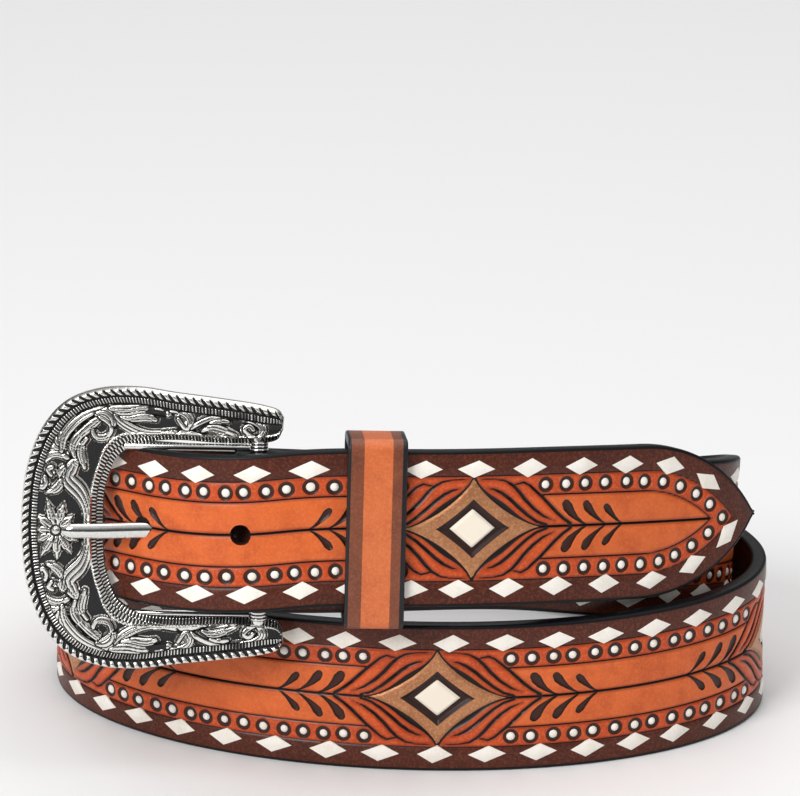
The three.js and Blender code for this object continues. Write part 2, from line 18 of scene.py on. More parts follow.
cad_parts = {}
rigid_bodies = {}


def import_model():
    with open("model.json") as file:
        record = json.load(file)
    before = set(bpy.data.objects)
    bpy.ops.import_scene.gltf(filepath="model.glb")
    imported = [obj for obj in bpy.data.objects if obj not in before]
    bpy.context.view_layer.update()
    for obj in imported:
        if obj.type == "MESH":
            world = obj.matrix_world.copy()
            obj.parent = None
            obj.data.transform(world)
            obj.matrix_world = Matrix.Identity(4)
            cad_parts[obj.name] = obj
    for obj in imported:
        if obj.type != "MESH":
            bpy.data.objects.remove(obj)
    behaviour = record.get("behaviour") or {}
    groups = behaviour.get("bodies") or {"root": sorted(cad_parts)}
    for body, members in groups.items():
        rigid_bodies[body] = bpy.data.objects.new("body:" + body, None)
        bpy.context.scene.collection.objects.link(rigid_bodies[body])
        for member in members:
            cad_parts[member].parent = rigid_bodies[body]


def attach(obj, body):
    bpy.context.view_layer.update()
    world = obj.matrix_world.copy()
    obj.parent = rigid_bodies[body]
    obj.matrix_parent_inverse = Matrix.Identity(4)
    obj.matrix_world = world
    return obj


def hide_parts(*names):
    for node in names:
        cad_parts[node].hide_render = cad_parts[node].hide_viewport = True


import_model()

LOG = logging.getLogger("belt")
MM = 0.001
BODY = "root"
UP = np.array([0.0, 0.0, 1.0])

# Beyond this, a stroke's distance is not worked out.
STROKE_REACH = 4.5

# Where the strap runs, from the bar to the tip: bearing round the coil in degrees, how many layers
# outside the floor turn, its lower edge's height as a share of the width, and its lean in degrees.
COIL_COLUMNS = ("bearing", "layers", "lift", "lean")
COIL_TABLE = (
    (254, 2.54, 1.135, -9), (262, 1.70, 1.135, -9), (275, 0.45, 1.13, -9), (291.5, -0.75, 1.09, -9),
    (303.2, -1.54, 1.01, -8), (315, -2.22, 0.915, -6), (334, -2.70, 0.83, -3), (350, -2.30, 0.745, 0),
    (366, -1.60, 0.65, 2), (385, -1.00, 0.49, 5), (405, -0.30, 0.30, 6), (422, 0.60, 0.155, 5),
    (450, 1.45, 0.04, 2), (480, 1.30, 0.005, 0), (510, 0.70, 0, 0), (540, 0.12, 0, 0), (570, 0, 0, 0),
    (610, 0, 0, 0), (660, 0, 0, 0), (692, 0.12, 0, 0), (720, 0.32, 0, 0), (745, 0.46, 0, 0),
    (765, 0.98, 0, 0), (783, 1.85, 0, 0), (810, 2.62, 0.01, 0), (840, 2.45, 0.09, 2),
    (870, 1.85, 0.33, 2), (890, 1.32, 0.49, 1), (905, 1.12, 0.60, 0), (920, 1.25, 0.735, -2),
    (938, 2.40, 0.985, -6), (953, 3.68, 1.12, -8), (963, 4.20, 1.15, -9), (976, 3.55, 1.19, -9),
    (980, 2.93, 1.205, -9), (995, 1.47, 1.20, -9), (1011, 0.27, 1.16, -9), (1021, -0.43, 1.125, -9),
    (1032.5, -1.10, 1.075, -8), (1050, -1.33, 1.00, -7), (1070.8, 0.02, 0.92, -6),
)

# Cuts round a star, for one quarter of it: along and across from its middle, and half the cut's width. They are
# painted near black: dark dye in the cuts, and painted shadow beside the leaves.
INK_AND_SHADOW_STROKES = (
    ((3.4, 9.8, 0.12), (5.2, 9.4, 0.30), (7.0, 8.5, 0.42), (9.0, 7.0, 0.46), (11.3, 4.9, 0.46),
     (13.6, 2.9, 0.42), (16.0, 1.3, 0.36), (18.6, 0.45, 0.32)),
    ((1.4, 11.9, 0.14), (3.0, 12.0, 0.20), (5.5, 11.9, 0.22), (7.7, 11.5, 0.28), (9.7, 10.3, 0.38),
     (11.3, 8.7, 0.44), (12.9, 6.7, 0.46), (15.2, 4.4, 0.42), (17.8, 2.5, 0.32), (20.7, 1.3, 0.08)),
    ((10.2, 10.5, 0.22), (12.3, 11.0, 0.28), (13.9, 10.2, 0.32), (15.8, 8.5, 0.36), (17.3, 7.2, 0.40),
     (19.1, 5.4, 0.43), (21.0, 3.5, 0.43), (23.0, 1.8, 0.40), (25.0, 0.5, 0.40)),
)

# Stamped drops along the centre line, in the same quarter.
DROP_STROKES = (
    ((23.4, 5.4, 1.00), (23.9, 4.6, 1.22), (24.8, 3.3, 0.95), (26.2, 1.9, 0.52), (27.8, 0.8, 0.26),
     (29.3, 0.1, 0.12)),
    ((28.8, 5.2, 0.88), (29.3, 4.4, 1.08), (30.3, 3.2, 0.80), (31.6, 2.0, 0.46), (33.0, 1.0, 0.24),
     (34.6, 0.1, 0.12)),
    ((34.4, 4.4, 0.72), (34.9, 3.8, 0.90), (35.8, 2.8, 0.66), (37.0, 1.6, 0.38), (38.2, 0.7, 0.22),
     (39.3, 0.1, 0.12)),
)

# Raised scrollwork on the buckle's upper half, in the buckle's own frame: u to the right, v up, and
# half the leaf's width.
SCROLLS = (
    ((-47.4, 18.3, 0.50), (-47.4, 21.2, 0.85), (-46.0, 24.5, 1.25), (-43.2, 27.3, 1.40),
     (-39.9, 29.2, 1.05), (-37.4, 29.9, 0.50)),
    ((-44.1, 17.4, 0.25), (-44.6, 19.8, 0.70), (-44.1, 21.6, 0.80), (-42.3, 23.5, 0.80),
     (-40.4, 25.2, 0.90), (-38.5, 26.8, 0.70)),
    ((-39.9, 24.5, 0.45), (-39.2, 22.8, 0.60), (-37.4, 22.4, 0.66), (-35.8, 23.3, 0.60),
     (-35.3, 25.2, 0.50), (-36.7, 26.8, 0.60), (-38.1, 27.5, 0.55)),
    ((-38.8, 28.5, 0.70), (-36.7, 28.5, 1.35), (-35.1, 26.8, 1.10), (-35.1, 25.4, 0.50)),
    ((-35.7, 29.4, 0.60), (-33.4, 29.2, 1.05), (-31.1, 29.2, 1.15), (-28.3, 29.7, 1.00),
     (-25.3, 29.4, 0.85), (-22.3, 29.0, 0.70)),
    ((-34.8, 28.2, 0.60), (-33.0, 26.4, 0.90), (-29.9, 24.5, 0.92), (-26.9, 23.6, 0.72),
     (-22.6, 23.7, 0.62), (-19.4, 24.2, 0.50)),
    ((-33.4, 27.5, 0.35), (-29.9, 27.3, 0.70), (-26.5, 27.6, 0.82), (-24.6, 27.0, 0.45)),
    ((-46.0, 17.4, 0.60), (-48.3, 18.3, 0.66), (-50.9, 17.6, 0.66), (-52.9, 15.7, 0.66),
     (-53.8, 13.1, 0.62), (-53.3, 10.8, 0.62), (-52.0, 10.0, 0.60), (-51.2, 11.2, 0.50),
     (-51.5, 12.7, 0.40)),
    ((-47.8, 19.3, 0.30), (-49.7, 20.0, 0.70), (-51.5, 19.0, 0.20)),
    ((-47.6, 19.8, 0.35), (-48.5, 21.4, 0.52), (-49.0, 22.8, 0.18)),
    ((-49.7, 15.0, 0.60), (-50.6, 14.5, 0.58), (-49.9, 13.1, 0.40)),
    ((-43.9, 16.9, 0.50), (-45.0, 15.0, 1.40), (-46.0, 12.7, 1.60), (-44.1, 10.3, 1.80),
     (-42.3, 7.9, 1.35), (-41.3, 4.9, 0.85), (-41.2, 0.0, 0.75)),
    ((-46.9, 12.7, 0.50), (-47.8, 10.8, 0.82), (-49.0, 9.6, 0.80), (-50.9, 8.9, 0.18)),
    ((-44.6, 14.3, 0.35), (-46.0, 15.0, 0.60), (-47.4, 13.8, 0.80), (-47.8, 12.7, 0.22)),
    ((-41.3, 22.1, 0.50), (-42.7, 19.8, 0.70), (-42.3, 16.9, 0.72), (-41.8, 15.0, 0.35)),
    ((-26.2, 29.4, 0.90), (-23.4, 29.4, 0.85), (-21.6, 28.7, 0.72)),
    ((-21.1, 29.2, 0.45), (-18.8, 29.2, 0.66), (-16.7, 28.0, 0.66), (-16.2, 26.1, 0.62),
     (-17.1, 24.7, 0.48), (-18.3, 25.9, 0.36), (-19.2, 27.3, 0.32)),
    ((-16.2, 25.0, 0.45), (-14.1, 26.4, 0.60), (-11.3, 27.6, 0.60), (-8.5, 28.0, 0.50)),
    ((-13.2, 24.5, 0.35), (-11.3, 25.2, 0.72), (-8.5, 24.7, 0.72), (-5.3, 23.5, 0.25)),
    ((-11.3, 26.6, 0.35), (-9.0, 27.1, 0.66), (-7.2, 26.8, 0.28)),
    ((-8.1, 28.0, 0.50), (-5.3, 28.0, 0.60), (-3.0, 27.6, 0.70), (-0.2, 26.8, 0.82),
     (1.2, 25.2, 0.72), (0.5, 23.5, 0.60)),
    ((-0.9, 23.1, 0.50), (-2.5, 24.0, 0.60), (-3.2, 25.2, 0.48), (-2.0, 25.9, 0.46), (-1.1, 24.9, 0.42)),
    ((-19.4, 24.0, 0.48), (-16.4, 24.0, 0.42), (-13.6, 23.3, 0.32), (-11.3, 22.4, 0.24)),
)

# The flower's petals: direction in degrees and reach, round its middle.
PETALS = (
    (74, 7.9), (106, 8.4), (142, 6.2), (178, 5.3), (209, 6.0), (240, 8.0), (272, 7.5), (303, 7.2),
    (335, 6.2), (10, 5.2), (42, 6.2),
)

# The buckle band's upper half, from the arm's end to the middle of the closed side. Reaches are
# shares of the buckle's reach; the outer rise is a share of its half height, the inner of the opening's.
BAND_COLUMNS = ("outer_reach", "outer_rise", "inner_reach", "inner_rise")
BAND_TABLE = (
    (-0.104, 0.800, -0.100, 1.145), (-0.085, 0.848, -0.080, 1.050), (-0.026, 0.882, -0.026, 1.005),
    (0.170, 0.930, 0.165, 0.995), (0.348, 0.965, 0.338, 1.020), (0.507, 1.000, 0.462, 0.995),
    (0.672, 0.985, 0.547, 0.920), (0.810, 0.896, 0.599, 0.810), (0.906, 0.722, 0.631, 0.620),
    (0.974, 0.451, 0.651, 0.420), (1.000, 0.145, 0.657, 0.160),
)

# The prong's middle line: share of its length from the bar, height over the bar's centre, and its
# width and depth as shares of the full ones.
PRONG_COLUMNS = ("along", "height", "width", "depth")
PRONG_TABLE = (
    (0.05, 0, 1, 1), (0.30, 0.4, 1, 1), (0.52, 1.3, 1, 1), (0.66, 2.7, 1, 1), (0.80, 4.2, 0.98, 1),
    (0.92, 4.8, 0.92, 0.95), (0.98, 4.8, 0.72, 0.8), (1.0, 4.7, 0.42, 0.5),
)


def column(names: tuple, table: tuple, name: str) -> np.ndarray:
    """One named column of a table.

    Args:
        names: The table's column names.
        table: Its rows.
        name: The column wanted.

    Returns:
        The column's values.
    """
    return np.array([row[names.index(name)] for row in table], float)


def ease(value: np.ndarray) -> np.ndarray:
    """Smooth step from 0 to 1."""
    share = np.clip(value, 0.0, 1.0)
    return share * share * (3.0 - 2.0 * share)


def unit(vectors: np.ndarray) -> np.ndarray:
    """The vectors at length one."""
    return vectors / np.linalg.norm(vectors, axis=-1, keepdims=True)


def smooth_curve(knots: np.ndarray, values: np.ndarray, wanted: np.ndarray) -> np.ndarray:
    """Natural cubic spline.

    Args:
        knots: Rising places of the values.
        values: The values there.
        wanted: The places to work out.

    Returns:
        The spline's values at the wanted places.
    """
    count = len(knots)
    gaps = np.diff(knots)
    system = np.zeros((count, count))
    right = np.zeros(count)
    system[0, 0] = system[-1, -1] = 1.0
    for i in range(1, count - 1):
        system[i, i - 1 : i + 2] = gaps[i - 1], 2.0 * (gaps[i - 1] + gaps[i]), gaps[i]
        right[i] = 6.0 * ((values[i + 1] - values[i]) / gaps[i] - (values[i] - values[i - 1]) / gaps[i - 1])
    bends = np.linalg.solve(system, right)
    at = np.clip(np.searchsorted(knots, wanted) - 1, 0, count - 2)
    span = gaps[at]
    before = (knots[at + 1] - wanted) / span
    after = (wanted - knots[at]) / span
    bow = ((before**3 - before) * bends[at] + (after**3 - after) * bends[at + 1]) * span * span / 6.0
    return before * values[at] + after * values[at + 1] + bow


def stroke_distance(points: np.ndarray, strokes: tuple) -> tuple:
    """Signed distance to tapered strokes, below zero inside them.

    Args:
        points: Places, two numbers each.
        strokes: Each a row of (x, y, half width) corners.

    Returns:
        The distance, how far the nearest stroke's middle line is, its half width there, and how much
        farther the next stroke is.
    """
    best = np.full(len(points), 1e3)
    second = np.full(len(points), 1e3)
    offset = np.zeros(len(points))
    width = np.ones(len(points))
    for stroke in strokes:
        corners = np.array(stroke, float)
        low = corners[:, :2].min(0) - STROKE_REACH
        high = corners[:, :2].max(0) + STROKE_REACH
        near = np.flatnonzero(np.all((points > low) & (points < high), -1))
        spots = points[near]
        own = np.full(len(near), 1e3)
        own_offset = np.zeros(len(near))
        own_width = np.ones(len(near))
        for start, end in zip(corners[:-1], corners[1:]):
            run = end[:2] - start[:2]
            from_start = spots - start[:2]
            share = np.clip(from_start @ run / (run @ run), 0.0, 1.0)
            away = from_start - share[:, None] * run
            half = start[2] + share * (end[2] - start[2])
            gap = np.hypot(away[:, 0], away[:, 1])
            nearer = gap - half < own
            own = np.where(nearer, gap - half, own)
            own_offset = np.where(nearer, gap, own_offset)
            own_width = np.where(nearer, half, own_width)
        nearest = own < best[near]
        second[near] = np.minimum(second[near], np.maximum(best[near], own))
        best[near] = np.minimum(best[near], own)
        offset[near[nearest]] = own_offset[nearest]
        width[near[nearest]] = own_width[nearest]
    return best, offset, width, second - best


def flowing(stroke: tuple, cuts: int = 4) -> tuple:
    """A stroke with its corners rounded.

    Args:
        stroke: Rows of (x, y, half width).
        cuts: How many parts each of its spans becomes.

    Returns:
        More rows, along a smooth curve through the first ones.
    """
    rows = np.array(stroke, float)
    steps = np.linalg.norm(np.diff(rows[:, :2], axis=0), axis=-1)
    knots = np.concatenate([[0.0], np.cumsum(steps)])
    wanted = np.interp(np.arange(cuts * len(steps) + 1) / cuts, np.arange(len(knots)), knots)
    curves = [smooth_curve(knots, rows[:, i], wanted) for i in range(3)]
    return tuple(zip(curves[0], curves[1], np.maximum(curves[2], 0.05)))


def srgb(red: int, green: int, blue: int) -> tuple:
    """A colour as seen on a screen, from 0 to 255, made linear with full alpha."""
    linear = [
        c / 12.92 if c <= 0.04045 else ((c + 0.055) / 1.055) ** 2.4
        for c in (red / 255.0, green / 255.0, blue / 255.0)
    ]
    return (*linear, 1.0)


def grid_faces(rows: int, columns: int, closed: bool) -> np.ndarray:
    """Quads over rows of points.

    Args:
        rows: How many rows.
        columns: Points in a row.
        closed: True where each row is a ring.

    Returns:
        Four point numbers for each face.
    """
    first = np.arange(rows - 1)[:, None] * columns
    spans = columns if closed else columns - 1
    here = np.arange(spans)
    after = (here + 1) % columns
    faces = np.stack([first + here, first + after, first + columns + after, first + columns + here], -1)
    return faces.reshape(-1, 4)


def make_mesh(name: str, points: np.ndarray, faces: list, fields: dict | None = None) -> bpy.types.Object:
    """A mesh object from points in millimetres.

    Args:
        name: The piece's name.
        points: Three numbers for each point.
        faces: Point numbers of each face.
        fields: Values for each point, by attribute name.

    Returns:
        The new object, linked to the scene.
    """
    mesh = bpy.data.meshes.new(name)
    mesh.from_pydata((np.asarray(points) * MM).tolist(), [], faces)
    for key, values in (fields or {}).items():
        attribute = mesh.attributes.new(key, "FLOAT", "POINT")
        attribute.data.foreach_set("value", np.asarray(values, np.float32))
    piece = bpy.data.objects.new(name, mesh)
    bpy.context.scene.collection.objects.link(piece)
    return piece


class Bench:
    """The modelling steps that the pieces share."""

    @staticmethod
    def clear() -> None:
        """Leaves edit mode and selects nothing."""
        if bpy.context.object is not None and bpy.context.object.mode != "OBJECT":
            bpy.ops.object.mode_set(mode="OBJECT")
        for item in bpy.data.objects:
            item.select_set(False)

    @classmethod
    def pick(cls, piece: bpy.types.Object) -> None:
        """Makes one object the active and only selected one."""
        cls.clear()
        bpy.context.view_layer.objects.active = piece
        piece.select_set(True)

    @classmethod
    def name_new(cls, name: str) -> bpy.types.Object:
        """Names the primitive that was just added, and bakes its place into its mesh."""
        piece = bpy.context.object
        piece.name = name
        piece.data.name = name
        bpy.ops.object.transform_apply(location=True, rotation=True, scale=True)
        return piece

    @classmethod
    def select_faces(cls, piece: bpy.types.Object, wanted) -> None:
        """Selects, in edit mode, the faces for which wanted(centre, normal) is true."""
        cls.pick(piece)
        bpy.ops.object.mode_set(mode="EDIT")
        bpy.ops.mesh.select_mode(type="FACE")
        bpy.ops.mesh.select_all(action="DESELECT")
        bpy.ops.object.mode_set(mode="OBJECT")
        for face in piece.data.polygons:
            face.select = bool(wanted(face.center, face.normal))
        bpy.ops.object.mode_set(mode="EDIT")

    @classmethod
    def select_edges(cls, piece: bpy.types.Object, wanted) -> None:
        """Selects, in edit mode, the edges for which wanted(first end, second end) is true."""
        cls.pick(piece)
        bpy.ops.object.mode_set(mode="EDIT")
        bpy.ops.mesh.select_mode(type="EDGE")
        bpy.ops.mesh.select_all(action="DESELECT")
        bpy.ops.object.mode_set(mode="OBJECT")
        spots = piece.data.vertices
        for edge in piece.data.edges:
            edge.select = bool(wanted(spots[edge.vertices[0]].co, spots[edge.vertices[1]].co))
        bpy.ops.object.mode_set(mode="EDIT")

    @classmethod
    def modify(cls, piece: bpy.types.Object, kind: str, **settings: object) -> None:
        """Adds a modifier, sets it and applies it."""
        cls.pick(piece)
        modifier = piece.modifiers.new(kind.lower(), kind)
        for key, value in settings.items():
            setattr(modifier, key, value)
        bpy.ops.object.modifier_apply(modifier=modifier.name)

    @classmethod
    def move(cls, piece: bpy.types.Object, matrix: Matrix) -> None:
        """Puts a piece's place into its mesh, turning the faces back if the matrix mirrors them."""
        cls.clear()
        piece.data.transform(matrix)
        if matrix.determinant() < 0:
            piece.data.flip_normals()
        piece.data.update()

    @classmethod
    def join(cls, pieces: list, name: str) -> bpy.types.Object:
        """Joins pieces into the first of them."""
        cls.pick(pieces[0])
        for piece in pieces[1:]:
            piece.select_set(True)
        bpy.ops.object.join()
        pieces[0].name = name
        pieces[0].data.name = name
        return pieces[0]

    @classmethod
    def smooth(cls, piece: bpy.types.Object, degrees: float) -> None:
        """Shades a piece smooth, apart from edges sharper than an angle."""
        cls.pick(piece)
        bpy.ops.object.shade_smooth_by_angle(angle=math.radians(degrees))
        cls.clear()

    @classmethod
    def face_out(cls, piece: bpy.types.Object) -> None:
        """Merges doubles and turns all faces outwards."""
        cls.pick(piece)
        bpy.ops.object.mode_set(mode="EDIT")
        bpy.ops.mesh.select_all(action="SELECT")
        bpy.ops.mesh.remove_doubles(threshold=1e-7)
        bpy.ops.mesh.normals_make_consistent(inside=False)
        bpy.ops.object.mode_set(mode="OBJECT")
        cls.clear()


class Slot(Enum):
    """The record's material slots."""

    STRAP = "tooled_leather"
    KEEPER = "keeper_leather"
    CASTING = "antique_silver"
    STEEL = "bright_steel"


def finish_piece(piece: bpy.types.Object, material: bpy.types.Material, slot: Slot, *nodes: str) -> None:
    """Gives a piece its material and body, and hides the CAD nodes that it replaces.

    Args:
        piece: The finished piece.
        material: Its material.
        slot: The record's slot for the piece's finish; not used.
        nodes: Names of the CAD nodes that it replaces.
    """
    piece.data.materials.clear()
    piece.data.materials.append(material)
    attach(piece, BODY)
    if nodes:
        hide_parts(*nodes)
    LOG.info("%s: %d faces", piece.name, len(piece.data.polygons))


class NodeDesk:
    """Adds nodes to one tree and links them."""

    def __init__(self, tree: bpy.types.NodeTree) -> None:
        """Starts on an empty tree.

        Args:
            tree: The node tree of a material or a group.
        """
        self.tree = tree
        tree.nodes.clear()

    def put(self, socket: bpy.types.NodeSocket, value: object) -> None:
        """Links a socket to another one, or sets its value."""
        if isinstance(value, bpy.types.NodeSocket):
            self.tree.links.new(value, socket)
        else:
            socket.default_value = value

    def add(self, kind: str, inputs: dict | None = None, **settings: object) -> bpy.types.Node:
        """Adds a node.

        Args:
            kind: The node's type name, without its ShaderNode prefix.
            inputs: Values or sockets for its inputs, by name or number.
            settings: The node's own properties.

        Returns:
            The new node.
        """
        node = self.tree.nodes.new(kind if kind.startswith("NodeGroup") else "ShaderNode" + kind)
        for key, value in settings.items():
            setattr(node, key, value)
        for key, value in (inputs or {}).items():
            self.put(node.inputs[key], value)
        return node

    def field(self, name: str) -> bpy.types.NodeSocket:
        """Reads a number that the mesh carries at its points."""
        return self.add("Attribute", attribute_name=name).outputs["Fac"]

    def place(self) -> bpy.types.NodeSocket:
        """The place on the object."""
        return self.add("TexCoord").outputs["Object"]

    def step(self, value: object, low: float, high: float) -> bpy.types.NodeSocket:
        """Smooth step: 0 where the value is at low, 1 where it is at high."""
        inputs = {"Value": value, "From Min": low, "From Max": high}
        return self.add("MapRange", inputs, interpolation_type="SMOOTHSTEP").outputs["Result"]

    def math(self, operation: str, first: object, second: object = 0.0) -> bpy.types.NodeSocket:
        """One sum, clamped to nothing."""
        return self.add("Math", {0: first, 1: second}, operation=operation).outputs[0]

    def mix(self, share: object, first: object, second: object, blend: str = "MIX") -> bpy.types.NodeSocket:
        """Mixes two colours by a share."""
        node = self.add("Mix", data_type="RGBA", blend_type=blend)
        self.put(node.inputs["Factor"], share)
        self.put(node.inputs[6], first)
        self.put(node.inputs[7], second)
        return node.outputs[2]

    def noise(self, scale: float, detail: float = 3.0, rough: float = 0.55) -> bpy.types.NodeSocket:
        """Cloudy noise on the object, from 0 to 1. Scale counts the clouds in a metre."""
        inputs = {"Vector": self.place(), "Scale": scale, "Detail": detail, "Roughness": rough}
        return self.add("TexNoise", inputs).outputs["Fac"]

    def group(self, tree: bpy.types.NodeTree, inputs: dict) -> bpy.types.Node:
        """Places a node group with its own values."""
        node = self.add("Group")
        node.node_tree = tree
        for key, value in inputs.items():
            self.put(node.inputs[key], value)
        return node

    def shade(self, **inputs: object) -> bpy.types.Node:
        """Adds the surface shader and the output. Underscores in the names stand for spaces."""
        named = {key.replace("_", " "): value for key, value in inputs.items()}
        shader = self.add("BsdfPrincipled", named)
        output = self.add("OutputMaterial")
        self.tree.links.new(shader.outputs["BSDF"], output.inputs["Surface"])
        return shader


def new_material(name: str) -> tuple:
    """An empty material and a desk on its nodes."""
    material = bpy.data.materials.new(name)
    material.use_nodes = True
    return material, NodeDesk(material.node_tree)


@dataclass(frozen=True)
class SharedEffects:
    """The effects that more than one finish uses, each a node group made once."""

    grain: bpy.types.NodeTree
    mottle: bpy.types.NodeTree

    @staticmethod
    def build() -> "SharedEffects":
        """Makes the groups."""
        return SharedEffects(SharedEffects.make_grain(), SharedEffects.make_mottle())

    @staticmethod
    def make_grain() -> bpy.types.NodeTree:
        """Fine pores and creases of leather, as a height."""
        tree = bpy.data.node_groups.new("leather grain", "ShaderNodeTree")
        tree.interface.new_socket("Pores", in_out="INPUT", socket_type="NodeSocketFloat")
        tree.interface.new_socket("Waves", in_out="INPUT", socket_type="NodeSocketFloat")
        tree.interface.new_socket("Height", in_out="OUTPUT", socket_type="NodeSocketFloat")
        desk = NodeDesk(tree)
        start = desk.add("NodeGroupInput")
        end = desk.add("NodeGroupOutput")
        cells = desk.add("TexVoronoi", {"Vector": desk.place(), "Scale": 2600.0, "Randomness": 1.0})
        pores = desk.math("MULTIPLY", desk.step(cells.outputs["Distance"], 0.05, 0.5), start.outputs["Pores"])
        waves = desk.math("MULTIPLY", desk.noise(420.0, 4.0), start.outputs["Waves"])
        desk.put(end.inputs["Height"], desk.math("ADD", pores, waves))
        return tree

    @staticmethod
    def make_mottle() -> bpy.types.NodeTree:
        """Uneven dye: a colour darkened and lightened in fine specks and broad clouds."""
        tree = bpy.data.node_groups.new("uneven dye", "ShaderNodeTree")
        tree.interface.new_socket("Color", in_out="INPUT", socket_type="NodeSocketColor")
        tree.interface.new_socket("Dark", in_out="INPUT", socket_type="NodeSocketColor")
        tree.interface.new_socket("Light", in_out="INPUT", socket_type="NodeSocketColor")
        tree.interface.new_socket("Amount", in_out="INPUT", socket_type="NodeSocketFloat")
        tree.interface.new_socket("Color", in_out="OUTPUT", socket_type="NodeSocketColor")
        desk = NodeDesk(tree)
        start = desk.add("NodeGroupInput")
        end = desk.add("NodeGroupOutput")
        clouds = desk.step(desk.noise(160.0, 3.0), 0.40, 0.72)
        specks = desk.step(desk.noise(1500.0, 4.0, 0.7), 0.42, 0.70)
        amount = start.outputs["Amount"]
        shaded = desk.mix(desk.math("MULTIPLY", clouds, amount), start.outputs["Color"], start.outputs["Dark"])
        lit = desk.mix(desk.math("MULTIPLY", specks, amount), shaded, start.outputs["Light"])
        desk.put(end.inputs["Color"], lit)
        return tree


@dataclass(frozen=True)
class TooledLeatherFinish:
    """Hand-dyed tooled leather: border, dotted band, plain field, cuts with painted shadow beside the leaves,
    star and black edge.
    """

    border: tuple = srgb(74, 31, 18)
    border_light: tuple = srgb(112, 56, 36)
    band: tuple = srgb(194, 72, 30)
    plain: tuple = srgb(214, 100, 46)
    leaf: tuple = srgb(208, 84, 34)
    dye_dark: tuple = srgb(164, 58, 22)
    dye_light: tuple = srgb(230, 126, 70)
    # Near black for the cuts: dark dye in them, and painted shadow beside the leaves and round the star.
    cut: tuple = srgb(20, 12, 10)
    stamp: tuple = srgb(58, 30, 22)
    star: tuple = srgb(180, 120, 80)
    core: tuple = srgb(244, 232, 214)
    edge: tuple = srgb(12, 13, 16)
    back: tuple = srgb(64, 36, 26)

    def build(self, effects: SharedEffects) -> bpy.types.Material:
        """Makes the material.

        Args:
            effects: The shared node groups.

        Returns:
            The material. It reads the distances that the strap's mesh carries.
        """
        material, desk = new_material("tooled leather")
        rim, ink_and_shadow, drop = desk.field("rim"), desk.field("ink_and_shadow"), desk.field("drop")
        star, well, core = desk.field("star"), desk.field("well"), desk.field("core")
        pit, plain = desk.field("pit"), desk.field("plain")
        inside = desk.step(rim, 6.15, 6.40)
        border = desk.group(effects.mottle, {
            "Color": self.border, "Dark": srgb(60, 26, 20), "Light": self.border_light, "Amount": 0.75,
        }).outputs["Color"]
        leafy = desk.mix(desk.step(rim, 11.0, 12.6), self.band, self.leaf)
        dyed = desk.mix(desk.step(plain, -0.1, 0.15), leafy, self.plain)
        dyed = desk.group(effects.mottle, {
            "Color": dyed, "Dark": self.dye_dark, "Light": self.dye_light, "Amount": 0.42,
        }).outputs["Color"]
        rubbed = desk.math("MULTIPLY", desk.step(ink_and_shadow, 0.75, 0.05), 0.50)
        dyed = desk.mix(rubbed, dyed, srgb(112, 38, 18))
        colour = desk.mix(inside, border, dyed)
        ring = desk.step(pit, 2.05, 1.85)
        stamped = desk.math("MAXIMUM", ring, desk.step(drop, 0.08, -0.08))
        colour = desk.mix(stamped, colour, self.stamp)
        lined = desk.math("MULTIPLY", desk.step(drop, -0.42, -0.10), desk.step(drop, 0.16, 0.0))
        # The cut lines and the band round the star are painted near black: partly dark dye in the cuts, partly
        # painted shadow beside the leaves and round the star.
        cut = desk.math("MAXIMUM", desk.step(ink_and_shadow, 0.06, -0.10), lined)
        colour = desk.mix(cut, colour, self.cut)
        gilded = desk.step(star, 0.04, -0.06)
        bronze = desk.group(effects.mottle, {
            "Color": self.star, "Dark": srgb(150, 92, 58), "Light": srgb(222, 172, 128), "Amount": 0.5,
        }).outputs["Color"]
        colour = desk.mix(gilded, colour, bronze)
        welled = desk.step(well, 0.04, -0.06)
        colour = desk.mix(welled, colour, srgb(46, 26, 22))
        cored = desk.step(core, 0.04, -0.06)
        colour = desk.mix(cored, colour, self.core)
        painted = desk.step(rim, 1.0, 0.75)
        colour = desk.mix(painted, colour, self.edge)
        behind = desk.step(rim, -0.45, -0.70)
        colour = desk.mix(behind, colour, self.back)
        metal = desk.math("MULTIPLY", gilded, desk.step(well, -0.06, 0.04))
        dull = desk.math("ADD", desk.math("MULTIPLY", desk.noise(900.0), 0.22), 0.30)
        grain = desk.group(effects.grain, {"Pores": 0.5, "Waves": 1.2})
        bump = desk.add("Bump", {"Height": grain.outputs["Height"], "Strength": 0.35, "Distance": 0.00012})
        desk.shade(
            Base_Color=colour, Roughness=dull, Metallic=desk.math("MULTIPLY", metal, 0.45),
            Normal=bump.outputs["Normal"], Coat_Weight=desk.math("MULTIPLY", desk.step(rim, 0.8, 1.6), 0.15),
            Coat_Roughness=0.2, Specular_IOR_Level=0.2,
        )
        return material


